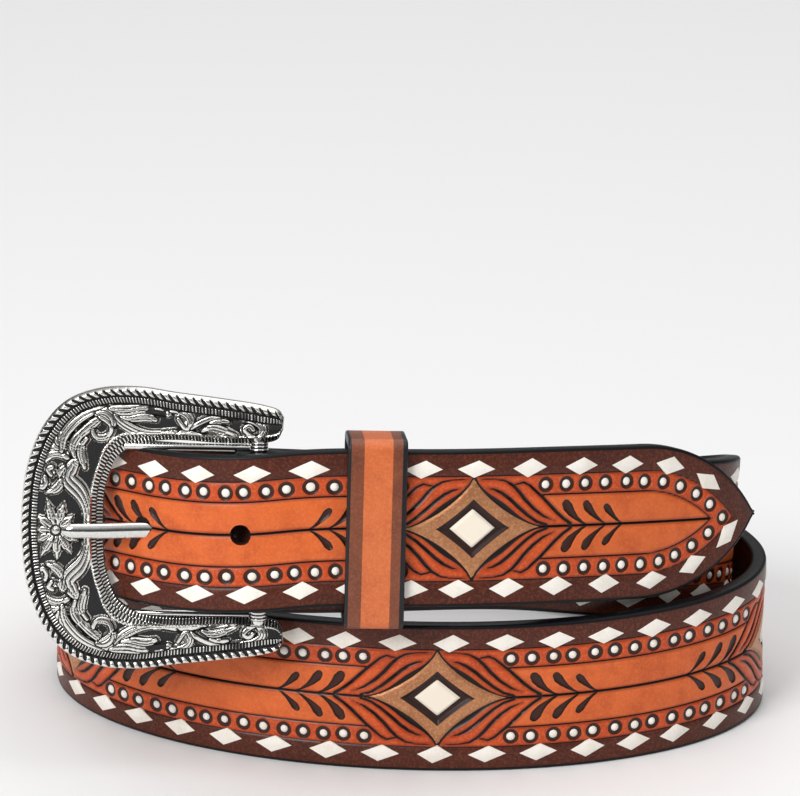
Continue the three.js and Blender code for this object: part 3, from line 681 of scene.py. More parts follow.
@dataclass(frozen=True)
class KeeperFinish:
    """The keeper's leather: tan between brown borders, with black edges."""

    tan: tuple = srgb(206, 106, 58)
    border: tuple = srgb(122, 66, 44)
    edge: tuple = srgb(24, 25, 28)

    def build(self, effects: SharedEffects) -> bpy.types.Material:
        """Makes the material, from the place across the keeper that its mesh carries."""
        material, desk = new_material("keeper leather")
        side = desk.field("side")
        left = desk.step(side, -3.72, -3.52)
        right = desk.step(side, 3.32, 3.12)
        middle = desk.math("MULTIPLY", left, right)
        tan = desk.group(effects.mottle, {
            "Color": self.tan, "Dark": srgb(178, 80, 42), "Light": srgb(226, 138, 88), "Amount": 0.4,
        }).outputs["Color"]
        brown = desk.group(effects.mottle, {
            "Color": self.border, "Dark": srgb(88, 44, 32), "Light": srgb(150, 92, 66), "Amount": 0.5,
        }).outputs["Color"]
        colour = desk.mix(middle, brown, tan)
        painted = desk.math("MAXIMUM", desk.step(side, -5.85, -6.05), desk.step(side, 6.25, 6.45))
        colour = desk.mix(painted, colour, self.edge)
        grain = desk.group(effects.grain, {"Pores": 0.4, "Waves": 1.0})
        bump = desk.add("Bump", {"Height": grain.outputs["Height"], "Strength": 0.3, "Distance": 0.0001})
        dull = desk.math("ADD", desk.math("MULTIPLY", desk.noise(700.0), 0.2), 0.30)
        desk.shade(Base_Color=colour, Roughness=dull, Normal=bump.outputs["Normal"], Coat_Weight=0.15,
                   Coat_Roughness=0.2, Specular_IOR_Level=0.3)
        return material


@dataclass(frozen=True)
class LaceFinish:
    """Ivory lace and painted dots."""

    ivory: tuple = srgb(245, 239, 230)
    shade: tuple = srgb(214, 200, 176)

    def build(self, effects: SharedEffects) -> bpy.types.Material:
        """Makes the material."""
        material, desk = new_material("ivory lace")
        ivory = desk.group(effects.mottle, {
            "Color": self.ivory, "Dark": self.shade, "Light": srgb(255, 252, 244), "Amount": 0.4,
        }).outputs["Color"]
        grain = desk.group(effects.grain, {"Pores": 0.3, "Waves": 0.6})
        bump = desk.add("Bump", {"Height": grain.outputs["Height"], "Strength": 0.2, "Distance": 0.00008})
        dull = desk.math("ADD", desk.math("MULTIPLY", desk.noise(800.0), 0.15), 0.38)
        desk.shade(Base_Color=ivory, Roughness=dull, Normal=bump.outputs["Normal"])
        return material


@dataclass(frozen=True)
class AntiqueSilverFinish:
    """Cast silver, bright on its high parts and black in its hollows."""

    bright: tuple = srgb(232, 230, 224)
    black: tuple = srgb(20, 20, 22)

    def build(self) -> bpy.types.Material:
        """Makes the material, from the hollowness that the casting's mesh carries."""
        material, desk = new_material("antique silver")
        hollow = desk.field("hollow")
        uneven = desk.math("MULTIPLY", desk.math("SUBTRACT", desk.noise(1100.0, 4.0), 0.5), 0.15)
        dark = desk.step(desk.math("ADD", hollow, uneven), 0.16, 0.52)
        colour = desk.mix(dark, self.bright, self.black)
        dull = desk.math("ADD", desk.math("MULTIPLY", dark, 0.38), 0.20)
        metal = desk.math("SUBTRACT", 1.0, desk.math("MULTIPLY", dark, 0.75))
        bump = desk.add("Bump", {"Height": desk.noise(2200.0, 3.0), "Strength": 0.15, "Distance": 0.00006})
        desk.shade(Base_Color=colour, Roughness=dull, Metallic=metal, Normal=bump.outputs["Normal"])
        return material


@dataclass(frozen=True)
class BrightSteelFinish:
    """Polished steel with faint rubbing marks."""

    steel: tuple = srgb(226, 225, 222)

    def build(self) -> bpy.types.Material:
        """Makes the material."""
        material, desk = new_material("bright steel")
        marks = desk.noise(1800.0, 4.0)
        dull = desk.math("ADD", desk.math("MULTIPLY", marks, 0.08), 0.07)
        colour = desk.mix(desk.step(marks, 0.35, 0.75), self.steel, srgb(208, 207, 204))
        bump = desk.add("Bump", {"Height": marks, "Strength": 0.03, "Distance": 0.00005})
        desk.shade(Base_Color=colour, Roughness=dull, Metallic=1.0, Normal=bump.outputs["Normal"])
        return material


@dataclass
class StrapRun:
    """The strap's middle line, from the buckle's bar to the tip, and the shape of its outline."""

    width: float = 38.1
    thick: float = 3.8
    layer_gap: float = 0.35
    half_length: float = 90.5
    half_depth: float = 58.0
    turn_deg: float = -7.8
    bearing_step: float = 0.5
    floor_grip: float = 0.05
    tip_length: float = 36.0
    tip_blunt: float = 0.6
    place: tuple = (1.7274, 0.9263, 0.0)
    bar_radius: float = 1.75
    bar_clear: float = 0.3
    flap_thick: float = 2.5
    fold_open: float = 14.0
    centres: np.ndarray = field(init=False)
    along: np.ndarray = field(init=False)
    across: np.ndarray = field(init=False)
    normal: np.ndarray = field(init=False)
    distances: np.ndarray = field(init=False)

    def __post_init__(self) -> None:
        """Works out the frames along the run."""
        bearings = column(COIL_COLUMNS, COIL_TABLE, "bearing")
        count = round((bearings[-1] - bearings[0]) / self.bearing_step)
        steps = np.linspace(bearings[0], bearings[-1], count + 1)
        self.centres = self.middle(steps)
        self.along = unit(self.middle(steps + 0.05) - self.middle(steps - 0.05))
        flat = np.stack([self.along[:, 1], -self.along[:, 0], np.zeros(len(steps))], -1)
        tilt = np.radians(self.curve("lean", steps)) * ease(self.foot(steps) / self.floor_grip)
        across = unit(flat) * np.sin(tilt)[:, None] + UP * np.cos(tilt)[:, None]
        across -= self.along * np.sum(across * self.along, -1, keepdims=True)
        self.across = unit(across)
        self.normal = np.cross(self.along, self.across)
        gaps = np.linalg.norm(np.diff(self.centres, axis=0), axis=-1)
        self.distances = np.concatenate([[0.0], np.cumsum(gaps)])

    @property
    def length(self) -> float:
        """The run's length from the bar to the tip."""
        return float(self.distances[-1])

    @property
    def half(self) -> float:
        """Half the strap's width."""
        return self.width / 2

    @property
    def fold_radius(self) -> float:
        """From the bar's centre to the middle of the fold's leather."""
        return self.bar_radius + self.bar_clear + self.thick / 2

    def curve(self, name: str, bearings: np.ndarray) -> np.ndarray:
        """A column of the coil's table as a smooth curve over bearings."""
        knots = column(COIL_COLUMNS, COIL_TABLE, "bearing")
        return smooth_curve(knots, column(COIL_COLUMNS, COIL_TABLE, name), bearings)

    def foot(self, bearings: np.ndarray) -> np.ndarray:
        """The lower edge's height as a share of the width, never below the floor."""
        return np.maximum(0.0, self.curve("lift", bearings))

    def middle(self, bearings: np.ndarray) -> np.ndarray:
        """Points of the middle line at bearings."""
        angle = np.radians(bearings)
        out = self.curve("layers", bearings) * (self.thick + self.layer_gap) - self.thick / 2
        x = (self.half_length + out) * np.cos(angle)
        y = (self.half_depth + out) * np.sin(angle)
        turn = math.radians(self.turn_deg)
        turned = [
            x * math.cos(turn) - y * math.sin(turn),
            x * math.sin(turn) + y * math.cos(turn),
            (self.foot(bearings) + 0.5) * self.width,
        ]
        return np.stack(turned, -1) + np.array(self.place)

    def frames(self, distances: np.ndarray) -> tuple:
        """Frames at distances from the bar.

        Args:
            distances: Any number of distances.

        Returns:
            Centres, directions of travel, directions across towards the top edge, and normals.
        """
        def pick(values: np.ndarray) -> np.ndarray:
            """One set of vectors at the distances."""
            return np.stack([np.interp(distances, self.distances, values[:, i]) for i in range(3)], -1)

        return pick(self.centres), unit(pick(self.along)), unit(pick(self.across)), unit(pick(self.normal))

    def points(self, distances: np.ndarray, sideways: np.ndarray, out: np.ndarray) -> np.ndarray:
        """Places at a distance along, sideways towards the top edge, and out of the face."""
        centre, _, across, normal = self.frames(distances)
        return centre + across * np.asarray(sideways)[..., None] + normal * np.asarray(out)[..., None]

    @property
    def tip_arc(self) -> float:
        """The radius of the two arcs that form the pointed tip."""
        return (self.tip_length**2 + self.half**2) / (2 * self.half)

    def half_width(self, distances: np.ndarray) -> np.ndarray:
        """Half the strap's width at distances from the bar."""
        back = np.maximum(0.0, distances - (self.length - self.tip_length))
        arch = np.sqrt(np.maximum(0.0, self.tip_arc**2 - back**2)) - (self.tip_arc - self.half)
        return np.maximum(self.tip_blunt, arch)

    def rim_distance(self, distances: np.ndarray, sideways: np.ndarray) -> np.ndarray:
        """How far a point of the face lies inside the outline."""
        back = distances - (self.length - self.tip_length)
        side = np.abs(sideways)
        arch = self.tip_arc - np.hypot(back, side + self.tip_arc - self.half)
        return np.where(back > 0, arch, self.half - side)

    def flap(self, from_bar: float) -> tuple:
        """The folded end behind the run: how deep its middle lies, and its thickness."""
        opening = float(ease(np.array(1 - from_bar / self.fold_open)))
        thick = self.flap_thick + (self.thick - self.flap_thick) * opening
        gap = self.layer_gap + (2 * (self.bar_radius + self.bar_clear) - self.layer_gap) * opening
        return self.thick / 2 + gap + thick / 2, thick


@dataclass
class Tooling:
    """The pattern cut and stamped into the strap's face."""

    run: StrapRun
    star_from_tip: tuple = (81.3, 194.0, 292.7, 392.1, 491.5, 594.5, 700.6, 803.0, 906.0, 1009.0)
    border_line: float = 6.30
    field_line: float = 11.25
    star_length: float = 16.8
    star_height: float = 12.4
    star_power: float = 0.76
    well_length: float = 9.1
    well_height: float = 7.3
    well_power: float = 0.92
    core_length: float = 5.55
    core_height: float = 4.75
    dot_row: float = 8.75
    dot_pitch: float = 5.25
    first_dot: float = 17.6
    pit_radius: float = 1.95
    pit_depth: float = 0.40
    field_puff: float = 0.28
    cut_depth: float = 0.42
    drop_depth: float = 0.40
    star_rise: float = 0.42
    well_depth: float = 0.85
    core_rise: float = 0.62
    edge_drop: float = 0.35
    edge_width: float = 1.4
    seed: int = 11
    stars: np.ndarray = field(init=False)
    dots: np.ndarray = field(init=False)

    def __post_init__(self) -> None:
        """Places the stars and the dots."""
        self.stars = np.sort(self.run.length - np.array(self.star_from_tip))
        self.dots = self.place_dots()

    def joints(self) -> list:
        """Distances at which the strap's pieces meet, midway between stars."""
        middles = (self.stars[:-1] + self.stars[1:]) / 2
        return [0.0, *middles.tolist(), self.run.length]

    def place_dots(self) -> np.ndarray:
        """The dots' places on the face, with the uneven spacing of handwork.

        Returns:
            Rows of distance from the bar and place sideways.
        """
        draw = np.random.default_rng(self.seed)
        run = self.run
        height = run.half - self.dot_row
        places = []
        for side in (1, -1):
            for i, star in enumerate(self.stars):
                after = self.stars[i + 1] - star if i + 1 < len(self.stars) else 0.0
                if after:
                    room = after - 2 * self.first_dot
                    count = round(room / self.dot_pitch)
                    marks = star + self.first_dot + room * np.arange(count + 1) / count
                    jitter = draw.uniform(-0.45, 0.45, (count + 1, 2)) * (1.0, 0.35)
                    places += [(m + j[0], side * height + j[1]) for m, j in zip(marks, jitter)]
            first = self.stars[0] - self.first_dot
            marks = np.arange(first, 3.0, -self.dot_pitch)
            places += [(m, side * height) for m in marks]
            straight = run.length - run.tip_length
            last = self.stars[-1] + self.first_dot
            marks = np.linspace(last, straight, round((straight - last) / self.dot_pitch) + 1)
            jitter = draw.uniform(-0.4, 0.4, (len(marks), 2)) * (1.0, 0.35)
            places += [(m + j[0], side * height + j[1]) for m, j in zip(marks, jitter)]
            radius = run.tip_arc - self.dot_row
            low = run.tip_arc - run.half
            end = math.acos(low / radius)
            count = round(radius * end / self.dot_pitch)
            for k in range(1, count + (side > 0)):
                angle = end * k / count
                wobble = draw.uniform(-0.3, 0.3)
                places.append((straight + radius * math.sin(angle) + wobble,
                               side * (radius * math.cos(angle) - low)))
        return np.array(places)

    @staticmethod
    def cusp(along: np.ndarray, across: np.ndarray, length: float, height: float, power: float) -> np.ndarray:
        """Signed distance to a four-pointed shape, below zero inside it.

        Args:
            along: Distance from its middle along the strap.
            across: Distance from its middle across it.
            length: Half its length.
            height: Half its height.
            power: 1 gives straight sides and less gives hollow ones.

        Returns:
            The distances.
        """
        turn = np.linspace(0.0, 1.0, 19)
        outline = [(length * t, height * (1 - t**power) ** (1 / power), 0.0) for t in turn]
        spots = np.stack([along.ravel(), across.ravel()], -1)
        gap = stroke_distance(spots, (tuple(outline),))[0]
        inside = (spots[:, 0] / length) ** power + (spots[:, 1] / height) ** power < 1
        return np.where(inside, -gap, gap).reshape(along.shape)

    def fields(self, distances: np.ndarray, sideways: np.ndarray) -> dict:
        """What the tooling is at places on the face.

        Args:
            distances: Distances from the bar.
            sideways: Places across, towards the top edge.

        Returns:
            Distances in millimetres by name, below zero inside each feature, and the relief height.
        """
        run = self.run
        nearest = self.stars[np.argmin(np.abs(distances[..., None] - self.stars), -1)]
        along = np.abs(distances - nearest)
        across = np.abs(sideways)
        rim = run.rim_distance(distances, sideways)
        spots = np.stack([along.ravel(), across.ravel()], -1)
        shape = along.shape
        near = spots[:, 0] < 42.0
        ink_and_shadow = np.full(len(spots), 3.0)
        drop = np.full(len(spots), 3.0)
        ink_and_shadow[near] = stroke_distance(spots[near], INK_AND_SHADOW_STROKES)[0]
        drop[near] = stroke_distance(spots[near], DROP_STROKES)[0]
        ink_and_shadow, drop = ink_and_shadow.reshape(shape), drop.reshape(shape)
        star = np.full(shape, 3.0)
        well = np.full(shape, 3.0)
        core = np.full(shape, 3.0)
        close = along < 22.0
        spread = (along[close], across[close])
        star[close] = self.cusp(*spread, self.star_length, self.star_height, self.star_power)
        well[close] = self.cusp(*spread, self.well_length, self.well_height, self.well_power)
        core[close] = self.cusp(*spread, self.core_length, self.core_height, 1.0)
        # A dark band round the star joins the cut lines; its near-black colour is partly dark dye and partly
        # painted shadow.
        swell = 0.38 + 0.95 * np.exp(-(((along - 7.5) / 4.0) ** 2))
        ink_and_shadow = np.minimum(ink_and_shadow, star - swell)
        middle = np.where((along > 16.2) & (rim > self.field_line), across - 0.34, 3.0)
        fence = np.where(along > 17.0, np.abs(rim - self.field_line) - 0.20, 3.0)
        ink_and_shadow = np.minimum(ink_and_shadow, np.minimum(middle, fence))
        ink_and_shadow = np.minimum(ink_and_shadow, np.abs(rim - self.border_line) - 0.16)
        leaf_edge = np.array(INK_AND_SHADOW_STROKES[2])[::-1]
        reach = np.interp(across, leaf_edge[:, 1], leaf_edge[:, 0])
        plain = np.minimum(rim - self.field_line, (along - reach) * 0.7)
        pit = self.dot_distance(distances, sideways)
        fields = {"rim": rim, "ink_and_shadow": ink_and_shadow, "drop": drop, "star": star, "well": well, "core": core,
                  "pit": pit, "plain": plain}
        height = self.relief(fields)
        fields = {name: np.clip(values, -3.0, 14.0) for name, values in fields.items()}
        return {**fields, "height": height}

    def dot_distance(self, distances: np.ndarray, sideways: np.ndarray) -> np.ndarray:
        """How far places on the face are from the nearest dot's centre, up to 4 mm."""
        best = np.full(distances.shape, 4.0)
        rows = distances[:, 0]
        for place, side in self.dots:
            first, last = np.searchsorted(rows, (place - 4.0, place + 4.0))
            if first < last:
                patch = np.hypot(distances[first:last] - place, sideways[first:last] - side)
                best[first:last] = np.minimum(best[first:last], patch)
        return best

    def relief(self, fields: dict) -> np.ndarray:
        """The face's height over the flat leather, from the distances to its features."""
        ink_and_shadow, drop, rim = fields["ink_and_shadow"], fields["drop"], fields["rim"]
        height = -self.field_puff * np.exp(-np.maximum(ink_and_shadow, 0.0) / 0.6)
        height -= self.cut_depth * ease(-ink_and_shadow / 0.34)
        height -= self.drop_depth * ease(-drop / 0.5 + 0.1)
        star, well, core = fields["star"], fields["well"], fields["core"]
        height += self.star_rise * ease(-star / 0.5) * (star < 0)
        height -= self.well_depth * ease(-well / 0.9) * (well < 0)
        height += self.core_rise * ease(-core / 0.45) * (core < 0)
        pit = fields["pit"]
        trough = ease((self.pit_radius + 0.15 - pit) / 0.5)
        height -= self.pit_depth * trough
        height -= self.edge_drop * ease((self.edge_width - rim) / self.edge_width)
        return height


@dataclass
class TooledStrap:
    """The strap's leather: pieces between the stars' midpoints, and the folded end."""

    run: StrapRun
    tooling: Tooling
    along_step: float = 0.42
    hidden_step: float = 0.7
    hidden_until: float = 215.0
    column_step: float = 0.3545
    columns: int = 51
    corner: float = 0.8
    hole_diameter: float = 4.9
    hole_pitch: float = 25.4
    hole_count: int = 7
    first_hole: float = 136.7
    flap_length: float = 48.0
    slot_width: float = 5.0
    slot_reach: float = 9.0
    rivets: tuple = (16.3, 40.0)
    rivet_diameter: float = 4.6

    def build(self, material: bpy.types.Material) -> list:
        """Builds and dresses every piece of the strap."""
        pieces = []
        joints = self.tooling.joints()
        for i, (start, end) in enumerate(zip(joints[:-1], joints[1:])):
            pieces.append(self.segment(f"strap_{i + 1:02d}", start, end))
        pieces.append(self.folded_end())
        for piece in pieces:
            Bench.face_out(piece)
        self.cut_holes(pieces, joints)
        for piece in pieces:
            Bench.smooth(piece, 65)
            finish_piece(piece, material, Slot.STRAP, "strap")
        return pieces

    def section(self) -> tuple:
        """The ring of points round the strap, at full width.

        Returns:
            Places across the flat face, and the turns of the points round a corner.
        """
        flat = np.arange(-self.columns, self.columns + 1) * self.column_step
        return flat, np.radians([0.0, 30.0, 60.0, 90.0])

    def segment(self, name: str, start: float, end: float) -> bpy.types.Object:
        """One closed length of strap with its tooled face.

        Args:
            name: The piece's name.
            start: Its start, from the bar.
            end: Its end.

        Returns:
            The mesh object.
        """
        run = self.run
        step = self.hidden_step if end < self.hidden_until else self.along_step
        count = max(2, round((end - start) / step))
        stations = np.linspace(start, end, count + 1)
        half = run.half_width(stations)[:, None]
        flat, turns = self.section()
        corner = np.minimum(self.corner, half / 2)
        share = np.concatenate([[-1.0], flat / (run.half - self.corner), [1.0]])
        front = share[None, :] * (half - corner)
        right = half - corner + corner * np.sin(turns[1:])[None, :]
        rise = corner * (1 - np.cos(turns[1:]))[None, :]
        back = np.array([1.0, 0.93, 0.5, 0.0, -0.5, -0.93, -1.0])[None, :] * (half - corner)
        top = run.thick / 2
        zero = np.zeros_like
        sideways = np.concatenate([front, right, right[:, ::-1], back, -right, -right[:, ::-1]], 1)
        out = np.concatenate([
            zero(front) + top, top - rise, -top + rise[:, ::-1], zero(back) - top, -top + rise,
            top - rise[:, ::-1],
        ], 1)
        # The lower corner's rings run the other way round, from the back to the face.
        across = front.shape[1]
        places = np.repeat(stations[:, None], sideways.shape[1], 1)
        fields = self.tooling.fields(places[:, :across], front)
        height = fields.pop("height")
        fade = ease((half - corner + 0.2 - np.abs(front)) / 0.8)
        out[:, :across] += height * np.where(np.abs(share) >= 1.0, 0.0, fade)
        carried = {}
        for key, values in fields.items():
            whole = np.zeros(sideways.shape) if key == "rim" else np.full(sideways.shape, 3.0)
            whole[:, :across] = values
            if key == "rim":
                inner = slice(across + 2 * right.shape[1] + 1, across + 2 * right.shape[1] + 6)
                whole[:, inner] = -1.0
            carried[key] = whole.ravel()
        points = run.points(places.ravel(), sideways.ravel(), out.ravel())
        size = sideways.shape[1]
        faces = grid_faces(count + 1, size, True).tolist()
        faces.append(list(range(size))[::-1])
        faces.append(list(range(count * size, (count + 1) * size)))
        return make_mesh(name, points, faces, carried)

    def folded_end(self) -> bpy.types.Object:
        """The fold round the bar and the flap behind the run."""
        run = self.run
        rings = []
        steps = 24
        for i in range(steps):
            from_bar = self.flap_length * (1 - i / steps)
            depth, thick = run.flap(from_bar)
            centre, along, across, normal = (v[0] for v in run.frames(np.array([from_bar])))
            rings.append((centre - normal * depth, across, -normal, thick))
        centre, along, across, normal = (v[0] for v in run.frames(np.array([0.0])))
        bar = centre - normal * run.fold_radius
        turns = 16
        for i in range(turns + 1):
            angle = math.pi * i / turns
            facing = -normal * math.cos(angle) - along * math.sin(angle)
            rings.append((bar + facing * run.fold_radius, across, facing, run.thick))
        points = []
        rim = []
        turn = np.radians([0.0, 30.0, 60.0, 90.0])
        shares = np.linspace(-1.0, 1.0, 9)
        for middle, sideways, facing, thick in rings:
            corner = min(self.corner, thick / 2 - 0.1)
            flat = run.half - corner
            edge = [(flat + corner * math.sin(t), thick / 2 - corner * (1 - math.cos(t))) for t in turn[1:]]
            outline = [(s * flat, thick / 2) for s in shares]
            outline += edge + [(w, -n) for w, n in reversed(edge)]
            outline += [(-s * flat, -thick / 2) for s in shares]
            outline += [(-w, -n) for w, n in edge] + [(-w, n) for w, n in reversed(edge)]
            for w, n in outline:
                points.append(middle + sideways * w + facing * n)
                rim.append(0.0 if abs(w) > flat * 0.97 else -1.0)
        size = len(points) // len(rings)
        faces = grid_faces(len(rings), size, True).tolist()
        faces.append(list(range(size))[::-1])
        faces.append(list(range((len(rings) - 1) * size, len(rings) * size)))
        names = ("ink_and_shadow", "drop", "star", "well", "core", "pit", "plain")
        fields = {key: np.full(len(points), 3.0) for key in names}
        fields["rim"] = np.array(rim)
        return make_mesh("strap_fold", np.array(points), faces, fields)

    def cut_holes(self, pieces: list, joints: list) -> None:
        """Punches the belt holes and the rivet holes.

        Args:
            pieces: The strap's pieces, with the folded end last.
            joints: Distances at which they meet.
        """
        run = self.run
        marks = [run.length - self.first_hole - i * self.hole_pitch for i in range(self.hole_count)]
        reach = run.thick
        radius = self.hole_diameter / 2
        for i, piece in enumerate(pieces[:-1]):
            for mark in marks:
                if joints[i] - radius < mark < joints[i + 1] + radius:
                    self.drill(piece, mark, radius, -reach, reach)
        for mark in self.rivets:
            self.drill(pieces[0], mark, self.rivet_diameter / 2, -3 * reach, reach)
            self.drill(pieces[-1], mark, self.rivet_diameter / 2, -3 * reach, reach)

    def drill(self, piece: bpy.types.Object, mark: float, radius: float, low: float, high: float) -> None:
        """Cuts a round hole through a piece.

        Args:
            piece: The piece to cut.
            mark: The hole's distance from the bar.
            radius: The hole's radius.
            low: Where the cut starts, out of the run's middle.
            high: Where it ends.
        """
        run = self.run
        before = piece.data
        kept = {a.name: self.read(before, a.name) for a in before.attributes if a.data_type == "FLOAT"}
        tree = KDTree(len(before.vertices))
        for vertex in before.vertices:
            tree.insert(vertex.co, vertex.index)
        tree.balance()
        centre, along, across, normal = (Vector(v[0]) for v in run.frames(np.array([mark])))
        Bench.clear()
        bpy.ops.mesh.primitive_cylinder_add(vertices=40, radius=radius * MM, depth=(high - low) * MM)
        cutter = bpy.context.object
        turn = Matrix((along, across, normal)).transposed().to_4x4()
        middle = (centre + normal * (low + high) / 2) * MM
        cutter.data.transform(Matrix.Translation(middle) @ turn)
        Bench.modify(piece, "BOOLEAN", object=cutter, operation="DIFFERENCE", solver="EXACT")
        bpy.data.objects.remove(cutter)
        nearest = np.array([tree.find(vertex.co)[1] for vertex in piece.data.vertices])
        spots = np.array([vertex.co for vertex in piece.data.vertices]) / MM - np.array(centre)
        from_axis = np.hypot(spots @ np.array(along), spots @ np.array(across))
        on_wall = from_axis < radius + 0.02
        for key, values in kept.items():
            values = values[nearest]
            if key == "rim":
                values[on_wall] = -1.0
            attribute = piece.data.attributes.get(key) or piece.data.attributes.new(key, "FLOAT", "POINT")
            attribute.data.foreach_set("value", values.astype(np.float32))

    @staticmethod
    def read(mesh: bpy.types.Mesh, name: str) -> np.ndarray:
        """A point attribute's values."""
        values = np.zeros(len(mesh.vertices), np.float32)
        mesh.attributes[name].data.foreach_get("value", values)
        return values


@dataclass
class LaceRows:
    """The buckstitch lace along both edges."""

    run: StrapRun
    row_depth: float = 4.5
    half_length: float = 4.45
    half_height: float = 2.2
    lean: float = 0.55
    pitch: float = 12.9
    rim_height: float = 0.05
    puff: float = 0.30
    upper_arch: tuple = (20.4, 7.4)
    upper_marks: tuple = (41.4, 54.2, 67.6, 80.9, 93.7, 119.8, 132.9, 146.9, 553.4, 565.7, 578.3, 591.2,
                          604.1, 617.1, 628.8)
    lower_arch: tuple = (29.0, 16.4, 3.6)
    lower_marks: tuple = (46.5, 59.9, 72.7, 85.1, 96.4, 123.6, 136.2, 147.8, 534.2, 545.8, 557.7, 570.0,
                          582.5, 595.1, 608.4, 621.2, 634.9, 647.6, 660.5, 673.2, 685.4, 698.0)

    def template(self) -> tuple:
        """One diamond of lace, modelled once and read as shares of its half length and height.

        Returns:
            Its points as (along, across, rise) and its faces.
        """
        Bench.clear()
        bpy.ops.mesh.primitive_plane_add(size=2.0, rotation=(0.0, 0.0, math.pi / 4))
        plate = Bench.name_new("lace pattern")
        Bench.pick(plate)
        bpy.ops.object.mode_set(mode="EDIT")
        bpy.ops.mesh.select_all(action="SELECT")
        bpy.ops.mesh.subdivide(number_cuts=3)
        bpy.ops.mesh.extrude_region_move(TRANSFORM_OT_translate={"value": (0.0, 0.0, 1.0)})
        bpy.ops.object.mode_set(mode="OBJECT")
        points = np.array([v.co for v in plate.data.vertices]) / (math.sqrt(2.0), math.sqrt(2.0), 1.0)
        faces = [list(p.vertices) for p in plate.data.polygons]
        bpy.data.objects.remove(plate)
        return points, faces

    def marks(self, side: int) -> list:
        """Places of a row's diamonds: distance from the bar, sideways, and the row's turn there."""
        run = self.run
        arch, seen = (self.upper_arch, self.upper_marks) if side > 0 else (self.lower_arch, self.lower_marks)
        straight = run.length - run.tip_length
        radius = run.tip_arc - self.row_depth
        low = run.tip_arc - run.half
        places = []
        for reach in arch:
            angle = reach / radius
            places.append((straight + radius * math.sin(angle), side * (radius * math.cos(angle) - low),
                           -side * angle))
        row = [seen[0]]
        for mark in (*seen[1:], run.length - 5.0):
            count = max(1, round((mark - row[-1]) / self.pitch))
            row += np.linspace(row[-1], mark, count + 1)[1:].tolist()
        places += [(run.length - mark, side * (run.half - self.row_depth), 0.0) for mark in row]
        return places

    def build(self, material: bpy.types.Material) -> None:
        """Builds the two rows."""
        shape, faces = self.template()
        outside = np.clip(np.abs(shape[:, 0]) + np.abs(shape[:, 1]), 0.0, 1.0)
        for name, side in (("laces_upper", 1), ("laces_lower", -1)):
            draw = np.random.default_rng(5 + side)
            points = []
            quads = []
            for mark, height, turn in self.marks(side):
                long = self.half_length * (1 + draw.uniform(-0.05, 0.05))
                high = self.half_height * (1 + draw.uniform(-0.05, 0.05))
                along = shape[:, 0] * long + shape[:, 1] * self.lean
                across = shape[:, 1] * high
                tilt = turn + draw.uniform(-0.03, 0.03)
                spread = mark + along * math.cos(tilt) - across * math.sin(tilt)
                sideways = height + along * math.sin(tilt) + across * math.cos(tilt)
                crown = self.rim_height + self.puff * (1 - outside**2.5)
                out = self.run.thick / 2 + np.where(shape[:, 2] > 0.5, crown, -0.6)
                quads += [[i + len(points) for i in face] for face in faces]
                points += self.run.points(spread, sideways, out).tolist()
            piece = make_mesh(name, np.array(points), quads)
            Bench.face_out(piece)
            Bench.smooth(piece, 40)
            finish_piece(piece, material, Slot.STRAP)


@dataclass
class DotRows:
    """The painted dots in their stamped pits."""

    run: StrapRun
    tooling: Tooling
    radius: float = 1.08
    dome: float = 0.42
    seat: float = -0.62

    def template(self) -> tuple:
        """One dome, modelled once at a radius of one.

        Returns:
            Its points and faces.
        """
        Bench.clear()
        bpy.ops.mesh.primitive_uv_sphere_add(segments=12, ring_count=8, radius=1.0)
        ball = Bench.name_new("dot pattern")
        Bench.pick(ball)
        bpy.ops.object.mode_set(mode="EDIT")
        bpy.ops.mesh.select_all(action="SELECT")
        bpy.ops.mesh.bisect(plane_co=(0, 0, -0.05), plane_no=(0, 0, 1), clear_inner=True, use_fill=True)
        bpy.ops.object.mode_set(mode="OBJECT")
        points = np.array([v.co for v in ball.data.vertices])
        faces = [list(p.vertices) for p in ball.data.polygons]
        bpy.data.objects.remove(ball)
        return points, faces

    def build(self, material: bpy.types.Material) -> None:
        """Builds all the dots as one piece."""
        shape, faces = self.template()
        draw = np.random.default_rng(8)
        points = []
        quads = []
        for mark, sideways in self.tooling.dots:
            size = self.radius * (1 + draw.uniform(-0.08, 0.08))
            out = self.run.thick / 2 + self.seat + shape[:, 2] * self.dome * 1.6
            quads += [[i + len(points) for i in face] for face in faces]
            points += self.run.points(mark + shape[:, 0] * size, sideways + shape[:, 1] * size, out).tolist()
        piece = make_mesh("dots", np.array(points), quads)
        Bench.smooth(piece, 60)
        finish_piece(piece, material, Slot.STRAP)


@dataclass
class BucklePlace:
    """Where the buckle stands: its own frame has u to the right, v up and w to the front."""

    run: StrapRun
    lean_deg: float = 9.0
    yaw_deg: float = 3.3

    def matrix(self) -> np.ndarray:
        """Directions of u, v and w as columns."""
        lean = math.radians(90 - self.lean_deg)
        yaw = -math.radians(self.yaw_deg)
        turn = Matrix.Rotation(yaw, 3, "Z") @ Matrix.Rotation(lean, 3, "X")
        return np.array(turn)

    def origin(self) -> np.ndarray:
        """The bar's centre."""
        centre, _, _, normal = (v[0] for v in self.run.frames(np.array([0.0])))
        return centre - normal * self.run.fold_radius

    def points(self, local: np.ndarray) -> np.ndarray:
        """Places in the belt's frame."""
        return np.asarray(local) @ self.matrix().T + self.origin()

    def place(self, piece: bpy.types.Object) -> None:
        """Moves a piece modelled in metres in the buckle's frame to its place."""
        matrix = Matrix(self.matrix().tolist()).to_4x4()
        matrix.translation = Vector(self.origin() * MM)
        Bench.move(piece, matrix)


